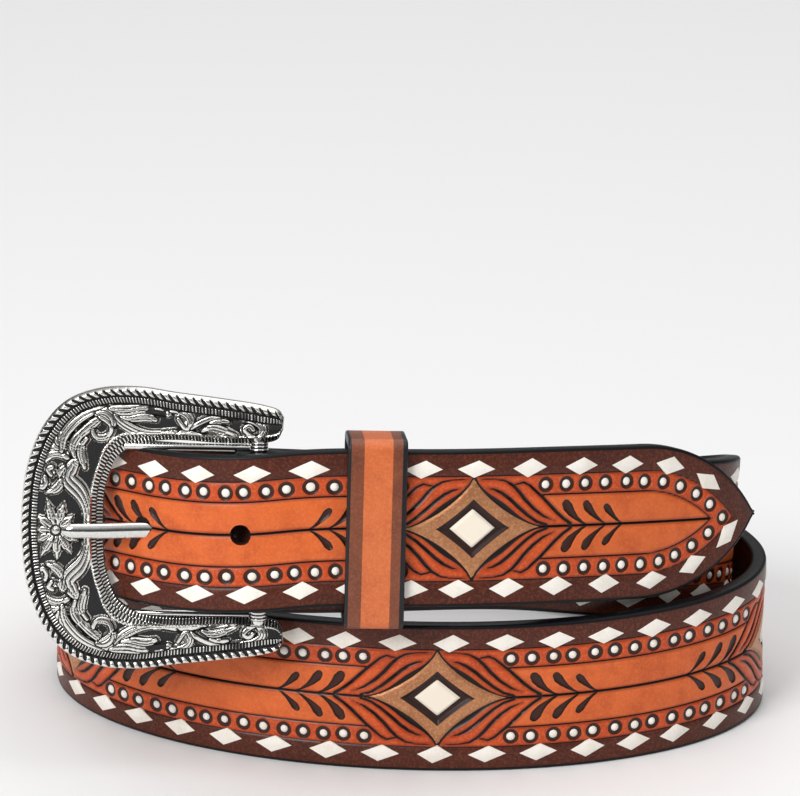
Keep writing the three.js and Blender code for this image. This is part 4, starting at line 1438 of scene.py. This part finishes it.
@dataclass
class BuckleCasting:
    """The horseshoe-shaped casting: rope rim, hatched groove, scrollwork, flower and inner bevel."""

    place: BucklePlace
    reach: float = 57.4
    half_height: float = 34.55
    opening_half: float = 21.45
    back: float = 1.8
    crown: float = 2.3
    rope_width: float = 2.2
    rope_rise: float = 1.0
    rope_base: float = 1.15
    rope_twists: int = 88
    groove_width: float = 2.0
    groove_base: float = 0.95
    body_base: float = 1.35
    inner_corner: tuple = (-32.5, 19.5)
    corner_reach: float = 5.0
    bevel_arm: float = 1.8
    bevel_side: float = 1.1
    bevel_corner: float = 2.0
    rib_pitch: float = 0.80
    leaf_swell: float = 0.72
    rounds: int = 1000
    spans: int = 74
    flower: tuple = (-48.8, -0.5)
    petal_shape: tuple = ((0.12, 0.6), (0.40, 1.55), (0.62, 1.45), (0.82, 0.80), (1.0, 0.08))

    def edge(self, reach: str, rise: str, height: float, shares: np.ndarray) -> np.ndarray:
        """One edge of the band as a centripetal curve through its table.

        Args:
            reach: The column with the reaches.
            rise: The column with the rises.
            height: What the rises are shares of.
            shares: Shares of the way from the upper arm's end to the lower's.

        Returns:
            Points of the edge.
        """
        u = -column(BAND_COLUMNS, BAND_TABLE, reach) * self.reach
        v = column(BAND_COLUMNS, BAND_TABLE, rise) * height
        upper = np.stack([u, v], -1)
        knots = np.concatenate([upper, (upper * (1, -1))[::-1]])
        last = len(knots) - 1
        knots = np.concatenate([[2 * knots[0] - knots[1]], knots, [2 * knots[-1] - knots[-2]]])
        at = np.clip((shares * last).astype(int), 0, last - 1)
        way = (shares * last - at)[:, None]
        p0, p1, p2, p3 = (knots[at + k] for k in range(4))
        d0, d1, d2 = (
            np.sqrt(np.linalg.norm(b - a, axis=-1, keepdims=True)) for a, b in ((p0, p1), (p1, p2), (p2, p3))
        )
        leave = ((p1 - p0) / d0 - (p2 - p0) / (d0 + d1) + (p2 - p1) / d1) * d1
        reach_in = ((p2 - p1) / d1 - (p3 - p1) / (d1 + d2) + (p3 - p2) / d2) * d1
        cube = 2 * p1 - 2 * p2 + leave + reach_in
        square = -3 * p1 + 3 * p2 - 2 * leave - reach_in
        return p1 + way * (leave + way * (square + way * cube))

    def section_shares(self) -> np.ndarray:
        """Shares across the band, from the inner edge to the outer."""
        return np.linspace(0.0, 1.0, self.spans + 1)

    def build(self, material: bpy.types.Material) -> bpy.types.Object:
        """Builds the casting as one closed mesh."""
        shares = np.linspace(0.0, 1.0, self.rounds + 1)
        outer = self.edge("outer_reach", "outer_rise", self.half_height, shares)
        inner = self.edge("inner_reach", "inner_rise", self.opening_half, shares)
        across = self.section_shares()
        face = inner[:, None] + (outer - inner)[:, None] * across[None, :, None]
        width = np.linalg.norm(outer - inner, axis=-1)[:, None]
        steps = np.linalg.norm(np.diff(outer, axis=0), axis=-1)
        travelled = np.concatenate([[0.0], np.cumsum(steps)])[:, None]
        height, hollow = self.face_height(face, width, across[None, :], travelled)
        low = -self.back
        under = np.array([0.97, 0.75, 0.5, 0.25, 0.03])
        below = inner[:, None] + (outer - inner)[:, None] * under[None, :, None]
        ring = np.concatenate([
            np.concatenate([face, height[..., None]], -1),
            np.concatenate([outer[:, None], np.full((len(shares), 1, 1), low + 0.5)], -1),
            np.concatenate([below, np.full((*below.shape[:2], 1), low)], -1),
            np.concatenate([inner[:, None], np.full((len(shares), 1, 1), low + 0.4)], -1),
        ], 1)
        shade = np.concatenate([hollow, np.full((len(shares), 7), 0.35)], 1)
        size = ring.shape[1]
        faces = grid_faces(len(shares), size, True).tolist()
        faces.append(list(range(size))[::-1])
        faces.append(list(range((len(shares) - 1) * size, len(shares) * size)))
        points = self.place.points(ring.reshape(-1, 3))
        piece = make_mesh("buckle_casting", points, faces, {"hollow": shade.ravel()})
        Bench.face_out(piece)
        Bench.smooth(piece, 75)
        finish_piece(piece, material, Slot.CASTING, "buckle_frame")
        return piece

    def face_height(
        self, face: np.ndarray, width: np.ndarray, across: np.ndarray, travelled: np.ndarray
    ) -> tuple:
        """The casting's front: its height over the bar's centre and how blackened it is.

        Args:
            face: Places on the band, in rounds and spans.
            width: The band's width at each round.
            across: The share across, from the inner edge.
            travelled: The distance along the outer edge at each round.

        Returns:
            Heights and hollowness from 0 to 1.
        """
        from_outer = (1 - across) * width
        from_inner = across * width
        narrow = np.clip(width / 9.0, 0.35, 1.0)
        rope_width = self.rope_width * narrow
        groove_end = rope_width + self.groove_width * narrow
        inner = face[:, :1]
        corner_u, corner_v = self.inner_corner
        from_corner = np.hypot(inner[..., 0] - corner_u, np.abs(inner[..., 1]) - corner_v)
        corner = np.exp(-((from_corner / self.corner_reach) ** 2))
        side = ease((-inner[..., 0] - 33.0) / 4.0)
        bevel = (self.bevel_arm + self.bevel_side * side + self.bevel_corner * corner) * narrow
        steps = np.linalg.norm(np.diff(inner[:, 0], axis=0), axis=-1)
        inside_travelled = np.concatenate([[0.0], np.cumsum(steps)])[:, None]
        rope, rope_dark = self.rope(from_outer / rope_width, travelled / travelled[-1] * self.rope_twists)
        ticks = ease(0.5 + 0.9 * np.cos(2 * math.pi * travelled / self.rib_pitch))
        between = (from_outer - rope_width) / (groove_end - rope_width)
        ticks = ticks * ease((between - 0.08) / 0.15) * ease((0.95 - between) / 0.1)
        groove = self.groove_base + 0.30 * ticks
        body, body_dark = self.body(face, from_outer - groove_end, from_inner - bevel)
        ridge = np.exp(-(((from_inner - bevel) / 0.30) ** 2))
        slope = ease(from_inner / np.maximum(bevel, 0.2))
        stagger = 0.5 * np.floor(from_inner / 1.5)
        ribs = ease(0.45 + 0.9 * np.cos(2 * math.pi * (inside_travelled / self.rib_pitch + stagger)))
        inner_height = 0.15 + 1.35 * slope + 0.22 * ribs
        height = np.where(from_outer < rope_width, rope, np.where(from_outer < groove_end, groove, body))
        dark = np.where(from_outer < groove_end, 1 - 0.85 * ticks, body_dark)
        dark = np.where(from_outer < rope_width, rope_dark, dark)
        height = np.where(from_inner < bevel, inner_height, height)
        dark = np.where(from_inner < bevel, 1 - 0.85 * ribs, dark)
        height = height + 0.30 * ridge
        dark = dark * (1 - ridge)
        edge = ease(from_outer / 0.5)
        height = height * edge + (1 - edge) * 0.55
        return height, np.clip(dark, 0.0, 1.0)

    def rope(self, across: np.ndarray, twist: np.ndarray) -> tuple:
        """The twisted rim, with slanted notches cut in from its inner side.

        Args:
            across: The share across the rim, from its outer side.
            twist: How many strands lie before a place.

        Returns:
            Heights and hollowness.
        """
        slant = twist + across * 0.75
        from_notch = np.abs(slant - np.floor(slant) - 0.5)
        reach = 0.28 * ease(across / 0.5)
        notch = ease((reach - from_notch) / 0.08) * (reach > 0.02)
        rounded = np.sqrt(np.maximum(0.0, 1 - (2 * across - 1) ** 2))
        height = self.rope_base + self.rope_rise * rounded * (1 - 0.55 * notch)
        return height, np.maximum(notch, ease((across - 0.86) / 0.1))

    def body(self, face: np.ndarray, from_groove: np.ndarray, from_bevel: np.ndarray) -> tuple:
        """Scrollwork and flower between the groove and the inner bevel.

        Args:
            face: Places on the band.
            from_groove: How far they are inside the hatched groove.
            from_bevel: How far they are outside the inner bevel.

        Returns:
            Heights and hollowness.
        """
        spots = face.reshape(-1, 2)
        folded = np.stack([spots[:, 0], np.abs(spots[:, 1])], -1)
        scrolls = tuple(flowing(stroke) for stroke in SCROLLS)
        leaf, dark, _ = self.leaves(folded, scrolls, self.leaf_swell)
        petals = []
        for degrees, reach in PETALS:
            way = np.array([math.cos(math.radians(degrees)), math.sin(math.radians(degrees))])
            petals.append(tuple((*(way * reach * share), half) for share, half in self.petal_shape))
        away = spots - np.array(self.flower)
        petal, petal_dark, in_flower = self.leaves(away, tuple(petals), 0.0)
        radius = np.hypot(away[:, 0], away[:, 1])
        button = ease((1.15 - radius) / 0.5)
        petal = np.where(radius < 1.5, 0.6 + 0.8 * button, petal)
        petal_dark = np.where(radius < 1.5, 1 - ease((1.2 - radius) / 0.2), petal_dark)
        round_flower = np.minimum(in_flower, radius - 1.5) < 0.35
        leaf = np.where(round_flower, petal, leaf)
        dark = np.where(round_flower, petal_dark, dark)
        shape = face.shape[:2]
        dome = self.body_base + 0.35 * np.sqrt(np.clip(np.minimum(from_groove, from_bevel) / 3.0, 0.0, 1.0))
        return dome + leaf.reshape(shape), dark.reshape(shape)

    @staticmethod
    def leaves(spots: np.ndarray, strokes: tuple, swell: float) -> tuple:
        """Raised leaves with engraved lines, on a hatched ground.

        Args:
            spots: Places, two numbers each.
            strokes: The leaves' middle lines with half widths.
            swell: How much wider than its stroke a leaf is, on each side.

        Returns:
            Heights, hollowness, and the distance to the nearest leaf's outline.
        """
        gap, offset, half, seam = stroke_distance(spots, strokes)
        gap = gap - swell
        half = half + swell
        lift = ease(-gap / np.minimum(half, 0.8))
        rows = np.where(half > 1.35, 2.0, 1.0)
        vein = 0.5 - 0.5 * np.cos(2 * math.pi * rows * offset / half)
        engraved = ease((vein - 0.70) / 0.25) * ease((half - 0.80) / 0.20) * (gap < -0.15)
        parted = ease(1.2 - seam / 0.30) * (gap < 0)
        hatch = ease((np.cos(spots[:, 0] * 8.0) * np.cos(spots[:, 1] * 6.0) - 0.35) / 0.3)
        ground = 1 - ease(0.15 - gap / 0.20)
        dark = np.maximum(ground * (1 - 0.5 * hatch), np.maximum(0.9 * engraved, parted))
        height = 0.95 * lift - 0.08 * engraved - 0.22 * parted + 0.10 * hatch * (gap > 0.2)
        return height, dark, gap


@dataclass
class BuckleBar:
    """The bar with its collars, and the bright ledge rods inside the arms."""

    place: BucklePlace
    radius: float = 1.75
    half_length: float = 24.6
    collar_rows: tuple = (19.9, 20.7, 21.5)
    collar_radius: float = 2.35
    ledge_radius: float = 0.9
    ledge_rows: tuple = (20.25, -21.0)
    ledge_heights: tuple = (0.3, -0.9)
    ledge_reach: tuple = (-1.9, -32.5)

    def build(self, material: bpy.types.Material) -> None:
        """Builds the bar and the two rods."""
        Bench.clear()
        bpy.ops.mesh.primitive_cylinder_add(
            vertices=32, radius=self.radius * MM, depth=2 * self.half_length * MM, rotation=(math.pi / 2, 0, 0))
        bar = Bench.name_new("buckle_bar")
        parts = [bar]
        for side in (1, -1):
            for row in self.collar_rows:
                Bench.clear()
                bpy.ops.mesh.primitive_torus_add(
                    location=(0, side * row * MM, 0), rotation=(math.pi / 2, 0, 0), major_segments=28,
                    minor_segments=10, major_radius=self.radius * MM,
                    minor_radius=(self.collar_radius - self.radius) * MM)
                parts.append(Bench.name_new("collar"))
        bar = Bench.join(parts, "buckle_bar")
        self.place.place(bar)
        Bench.smooth(bar, 50)
        finish_piece(bar, material, Slot.STEEL, "buckle_frame")
        for name, row, height in zip(("ledge_upper", "ledge_lower"), self.ledge_rows, self.ledge_heights):
            near, far = self.ledge_reach
            Bench.clear()
            bpy.ops.mesh.primitive_cylinder_add(
                vertices=24, radius=self.ledge_radius * MM, depth=(near - far) * MM,
                location=((near + far) / 2 * MM, row * MM, height * MM),
                rotation=(0, math.pi / 2, 0))
            rod = Bench.name_new(name)
            Bench.modify(rod, "BEVEL", width=0.35 * MM, segments=4, limit_method="ANGLE")
            self.place.place(rod)
            Bench.smooth(rod, 45)
            finish_piece(rod, material, Slot.STEEL, "buckle_frame")


@dataclass
class Prong:
    """The half-round prong and its eye on the bar."""

    place: BucklePlace
    length: float = 47.0
    width: float = 4.0
    depth: float = 2.6
    eye_inner: float = 2.05
    eye_wall: float = 1.7
    steps: int = 34
    sides: int = 28

    def build(self, material: bpy.types.Material) -> None:
        """Builds the prong from a disc that is extruded along its line."""
        along = column(PRONG_COLUMNS, PRONG_TABLE, "along")
        way = along[0] + (1 - along[0]) * (1 - (1 - np.linspace(0, 1, self.steps + 1)) ** 1.4)
        line = {
            name: smooth_curve(along, column(PRONG_COLUMNS, PRONG_TABLE, name), way)
            for name in ("height", "width", "depth")
        }
        Bench.clear()
        start = (-way[0] * self.length * MM, 0.0, line["height"][0] * MM)
        bpy.ops.mesh.primitive_circle_add(
            vertices=self.sides, radius=self.width / 2 * MM, fill_type="NGON", location=start,
            rotation=(0, -math.pi / 2, 0))
        rod = Bench.name_new("prong_rod")
        Bench.pick(rod)
        bpy.ops.object.mode_set(mode="EDIT")
        bpy.ops.mesh.select_all(action="SELECT")
        bpy.ops.transform.resize(value=(1, 1, self.depth / self.width), center_override=start)
        for i in range(1, self.steps + 1):
            shift = (-(way[i] - way[i - 1]) * self.length * MM, 0.0,
                     (line["height"][i] - line["height"][i - 1]) * MM)
            bpy.ops.mesh.extrude_region_move(TRANSFORM_OT_translate={"value": shift})
            centre = (-way[i] * self.length * MM, 0.0, line["height"][i] * MM)
            ratio = (1, line["width"][i] / line["width"][i - 1], line["depth"][i] / line["depth"][i - 1])
            bpy.ops.transform.resize(value=ratio, center_override=centre)
        bpy.ops.object.mode_set(mode="OBJECT")
        Bench.face_out(rod)
        Bench.clear()
        bpy.ops.mesh.primitive_torus_add(
            rotation=(math.pi / 2, 0, 0), major_segments=36, minor_segments=14,
            major_radius=(self.eye_inner + self.eye_wall / 2) * MM, minor_radius=self.eye_wall / 2 * MM)
        eye = Bench.name_new("eye")
        Bench.pick(eye)
        bpy.ops.transform.resize(value=(1, self.width / self.eye_wall, 1), center_override=(0, 0, 0))
        bpy.ops.object.transform_apply(location=True, rotation=True, scale=True)
        prong = Bench.join([rod, eye], "prong_steel")
        self.place.place(prong)
        Bench.smooth(prong, 50)
        finish_piece(prong, material, Slot.STEEL, "prong")


@dataclass
class Keeper:
    """The leather loop that holds the tip."""

    run: StrapRun
    width: float = 14.3
    wall: float = 2.4
    play: float = 0.5
    from_bar: float = 28.0
    corner: float = 2.6
    rows: tuple = (-6.2, -3.6, -1.6, 0.6, 2.6, 4.6, 6.4)

    def build(self, material: bpy.types.Material) -> None:
        """Builds the loop in its own frame, x out of the face, y across the strap, and places it."""
        run = self.run
        fold = run.frames(np.array([self.from_bar]))[0][0]
        tip_run = run.distances > run.length / 2
        gaps = np.linalg.norm(run.centres[tip_run] - fold, axis=-1)
        mark = run.distances[tip_run][np.argmin(gaps)]
        centre, along, across, normal = (v[0] for v in run.frames(np.array([mark])))
        shift = fold - centre
        depth, _ = run.flap(self.from_bar)
        low = shift @ normal - depth - run.flap_thick / 2 - self.play - self.wall
        high = run.thick / 2 + self.play + self.wall
        bottom = shift @ across - run.half - self.play - self.wall
        top = run.half + self.play + self.wall
        Bench.clear()
        bpy.ops.mesh.primitive_cube_add(
            size=1.0, location=((low + high) / 2 * MM, (bottom + top) / 2 * MM, 0),
            scale=((high - low) * MM, (top - bottom) * MM, self.width * MM))
        loop = Bench.name_new("keeper_loop")
        Bench.select_faces(loop, lambda c, n: abs(n.z) > 0.9)
        bpy.ops.mesh.delete(type="FACE")
        Bench.select_edges(loop, lambda a, b: abs(a.z - b.z) > 0.5 * self.width * MM)
        bpy.ops.mesh.bevel(offset=self.corner * MM, segments=7)
        for row in self.rows:
            bpy.ops.mesh.select_all(action="SELECT")
            bpy.ops.mesh.bisect(plane_co=(0, 0, row * MM), plane_no=(0, 0, 1))
        bpy.ops.object.mode_set(mode="OBJECT")
        Bench.face_out(loop)
        Bench.modify(loop, "SOLIDIFY", thickness=self.wall * MM, offset=-1.0)
        Bench.modify(loop, "BEVEL", width=0.55 * MM, segments=3, limit_method="ANGLE", angle_limit=1.2)
        values = [v.co.z / MM for v in loop.data.vertices]
        attribute = loop.data.attributes.new("side", "FLOAT", "POINT")
        attribute.data.foreach_set("value", values)
        basis = Matrix((Vector(normal), Vector(across), Vector(-along))).transposed().to_4x4()
        basis.translation = Vector(centre) * MM
        Bench.move(loop, basis)
        Bench.smooth(loop, 50)
        finish_piece(loop, material, Slot.KEEPER, "keeper")


@dataclass
class Rivets:
    """The two posts that hold the folded end, with low domed heads inside."""

    run: StrapRun
    marks: tuple = (16.3, 40.0)
    diameter: float = 4.0
    head: float = 7.0
    head_thick: float = 1.0
    clear: float = 0.3

    def build(self, material: bpy.types.Material) -> None:
        """Builds both rivets."""
        run = self.run
        for number, mark in enumerate(self.marks, 1):
            centre, along, across, normal = (Vector(v[0]) for v in run.frames(np.array([mark])))
            depth, thick = run.flap(mark)
            seat = -depth - thick / 2 - self.clear
            top = run.thick / 2 - 0.05
            Bench.clear()
            bpy.ops.mesh.primitive_cylinder_add(
                vertices=32, radius=self.head / 2 * MM, depth=self.head_thick * MM,
                location=(0, 0, (seat - self.head_thick / 2) * MM))
            rivet = Bench.name_new(f"rivet_post_{number}")
            Bench.select_faces(rivet, lambda c, n: n.z < -0.9)
            bpy.ops.mesh.inset(thickness=1.1 * MM)
            bpy.ops.transform.translate(value=(0, 0, -0.25 * MM))
            Bench.select_faces(rivet, lambda c, n: n.z > 0.9)
            bpy.ops.mesh.inset(thickness=(self.head - self.diameter) / 2 * MM)
            bpy.ops.mesh.extrude_region_move(TRANSFORM_OT_translate={"value": (0, 0, (top - seat) * MM)})
            bpy.ops.object.mode_set(mode="OBJECT")
            Bench.modify(rivet, "BEVEL", width=0.2 * MM, segments=3, limit_method="ANGLE")
            basis = Matrix((along, across, normal)).transposed().to_4x4()
            basis.translation = centre * MM
            Bench.move(rivet, basis)
            Bench.smooth(rivet, 40)
            finish_piece(rivet, material, Slot.STEEL, f"rivet_{number}")


@dataclass
class Studio:
    """Camera, floor and soft lights."""

    elevation_deg: float = 20.0
    distance: float = 1100.0
    aim: tuple = (1.727, 0.926, 40.0)
    aim_pixel: tuple = (405.5, 536.0)
    frame_pixels: tuple = (800, 796)
    focal_pixels: float = 4312.0
    sensor: float = 36.0
    floor_size: float = 6.0
    room_strength: float = 0.75

    def camera(self) -> None:
        """Points the camera so that the aim lands on its pixel, with no shift."""
        tilt = math.radians(self.elevation_deg)
        forward = Vector((0, math.cos(tilt), -math.sin(tilt)))
        upward = Vector((0, math.sin(tilt), math.cos(tilt)))
        right = Vector((1, 0, 0))
        spot = Vector(self.aim) - forward * self.distance
        wide, high = self.frame_pixels
        sight = (
            forward
            + right * ((wide / 2 - self.aim_pixel[0]) / self.focal_pixels)
            + upward * ((self.aim_pixel[1] - high / 2) / self.focal_pixels)
        )
        data = bpy.data.cameras.new("camera")
        data.sensor_width = self.sensor
        data.lens = self.focal_pixels / wide * self.sensor
        data.clip_start = 0.05
        data.clip_end = 20.0
        camera = bpy.data.objects.new("camera", data)
        bpy.context.scene.collection.objects.link(camera)
        camera.location = spot * MM
        camera.rotation_mode = "QUATERNION"
        camera.rotation_quaternion = sight.to_track_quat("-Z", "Y")
        bpy.context.scene.camera = camera

    def floor(self) -> None:
        """Lays a plain pale floor."""
        Bench.clear()
        bpy.ops.mesh.primitive_plane_add(size=self.floor_size, location=(0, 0, 0))
        floor = Bench.name_new("floor")
        material, desk = new_material("pale floor")
        desk.shade(Base_Color=srgb(236, 236, 236), Roughness=0.75)
        floor.data.materials.append(material)

    def lights(self) -> None:
        """Hangs the soft boxes and sets the room's light."""
        # Name, place in metres, width in metres, power in watts.
        boxes = (
            ("key", (-0.9, -1.3, 1.1), 0.8, 22.0),
            ("top", (0.0, 0.0, 1.8), 1.4, 9.0),
            ("fill", (1.3, -0.9, 0.7), 0.7, 1.5),
            ("rear", (0.3, 1.5, 1.3), 1.0, 3.0),
        )
        for name, spot, size, power in boxes:
            data = bpy.data.lights.new(name, "AREA")
            data.shape = "SQUARE"
            data.size = size
            data.energy = power
            light = bpy.data.objects.new(name, data)
            light.location = spot
            light.rotation_mode = "QUATERNION"
            light.rotation_quaternion = (Vector((0, 0, 0.04)) - Vector(spot)).to_track_quat("-Z", "Y")
            bpy.context.scene.collection.objects.link(light)
        world = bpy.data.worlds.new("room")
        world.use_nodes = True
        desk = NodeDesk(world.node_tree)
        way = desk.add("SeparateXYZ", {0: desk.add("TexCoord").outputs["Generated"]})
        colour = desk.mix(desk.step(way.outputs["Z"], 0.20, 0.85), srgb(90, 90, 92), srgb(255, 255, 255))
        backdrop = desk.add("Background", {"Color": colour, "Strength": self.room_strength})
        output = desk.add("OutputWorld")
        desk.put(output.inputs["Surface"], backdrop.outputs["Background"])
        bpy.context.scene.world = world

    def build(self) -> None:
        """Sets up the studio."""
        bpy.context.scene.view_settings.view_transform = "Standard"
        self.camera()
        self.floor()
        self.lights()


def corners(bounds: tuple) -> list:
    """A box's two corners as plain numbers."""
    return [[float(value) for value in corner] for corner in bounds]


def main() -> None:
    """Builds the studio and every piece of the belt."""
    logging.basicConfig(level=logging.INFO, format="%(name)s: %(message)s")
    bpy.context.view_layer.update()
    Studio().build()
    effects = SharedEffects.build()
    leather = TooledLeatherFinish().build(effects)
    ivory = LaceFinish().build(effects)
    steel = BrightSteelFinish().build()
    run = StrapRun()
    tooling = Tooling(run)
    TooledStrap(run, tooling).build(leather)
    LaceRows(run).build(ivory)
    DotRows(run, tooling).build(ivory)
    place = BucklePlace(run)
    BuckleCasting(place).build(AntiqueSilverFinish().build())
    BuckleBar(place).build(steel)
    Prong(place).build(steel)
    Keeper(run).build(KeeperFinish().build(effects))
    Rivets(run).build(steel)


if __name__ == "__main__":
    main()
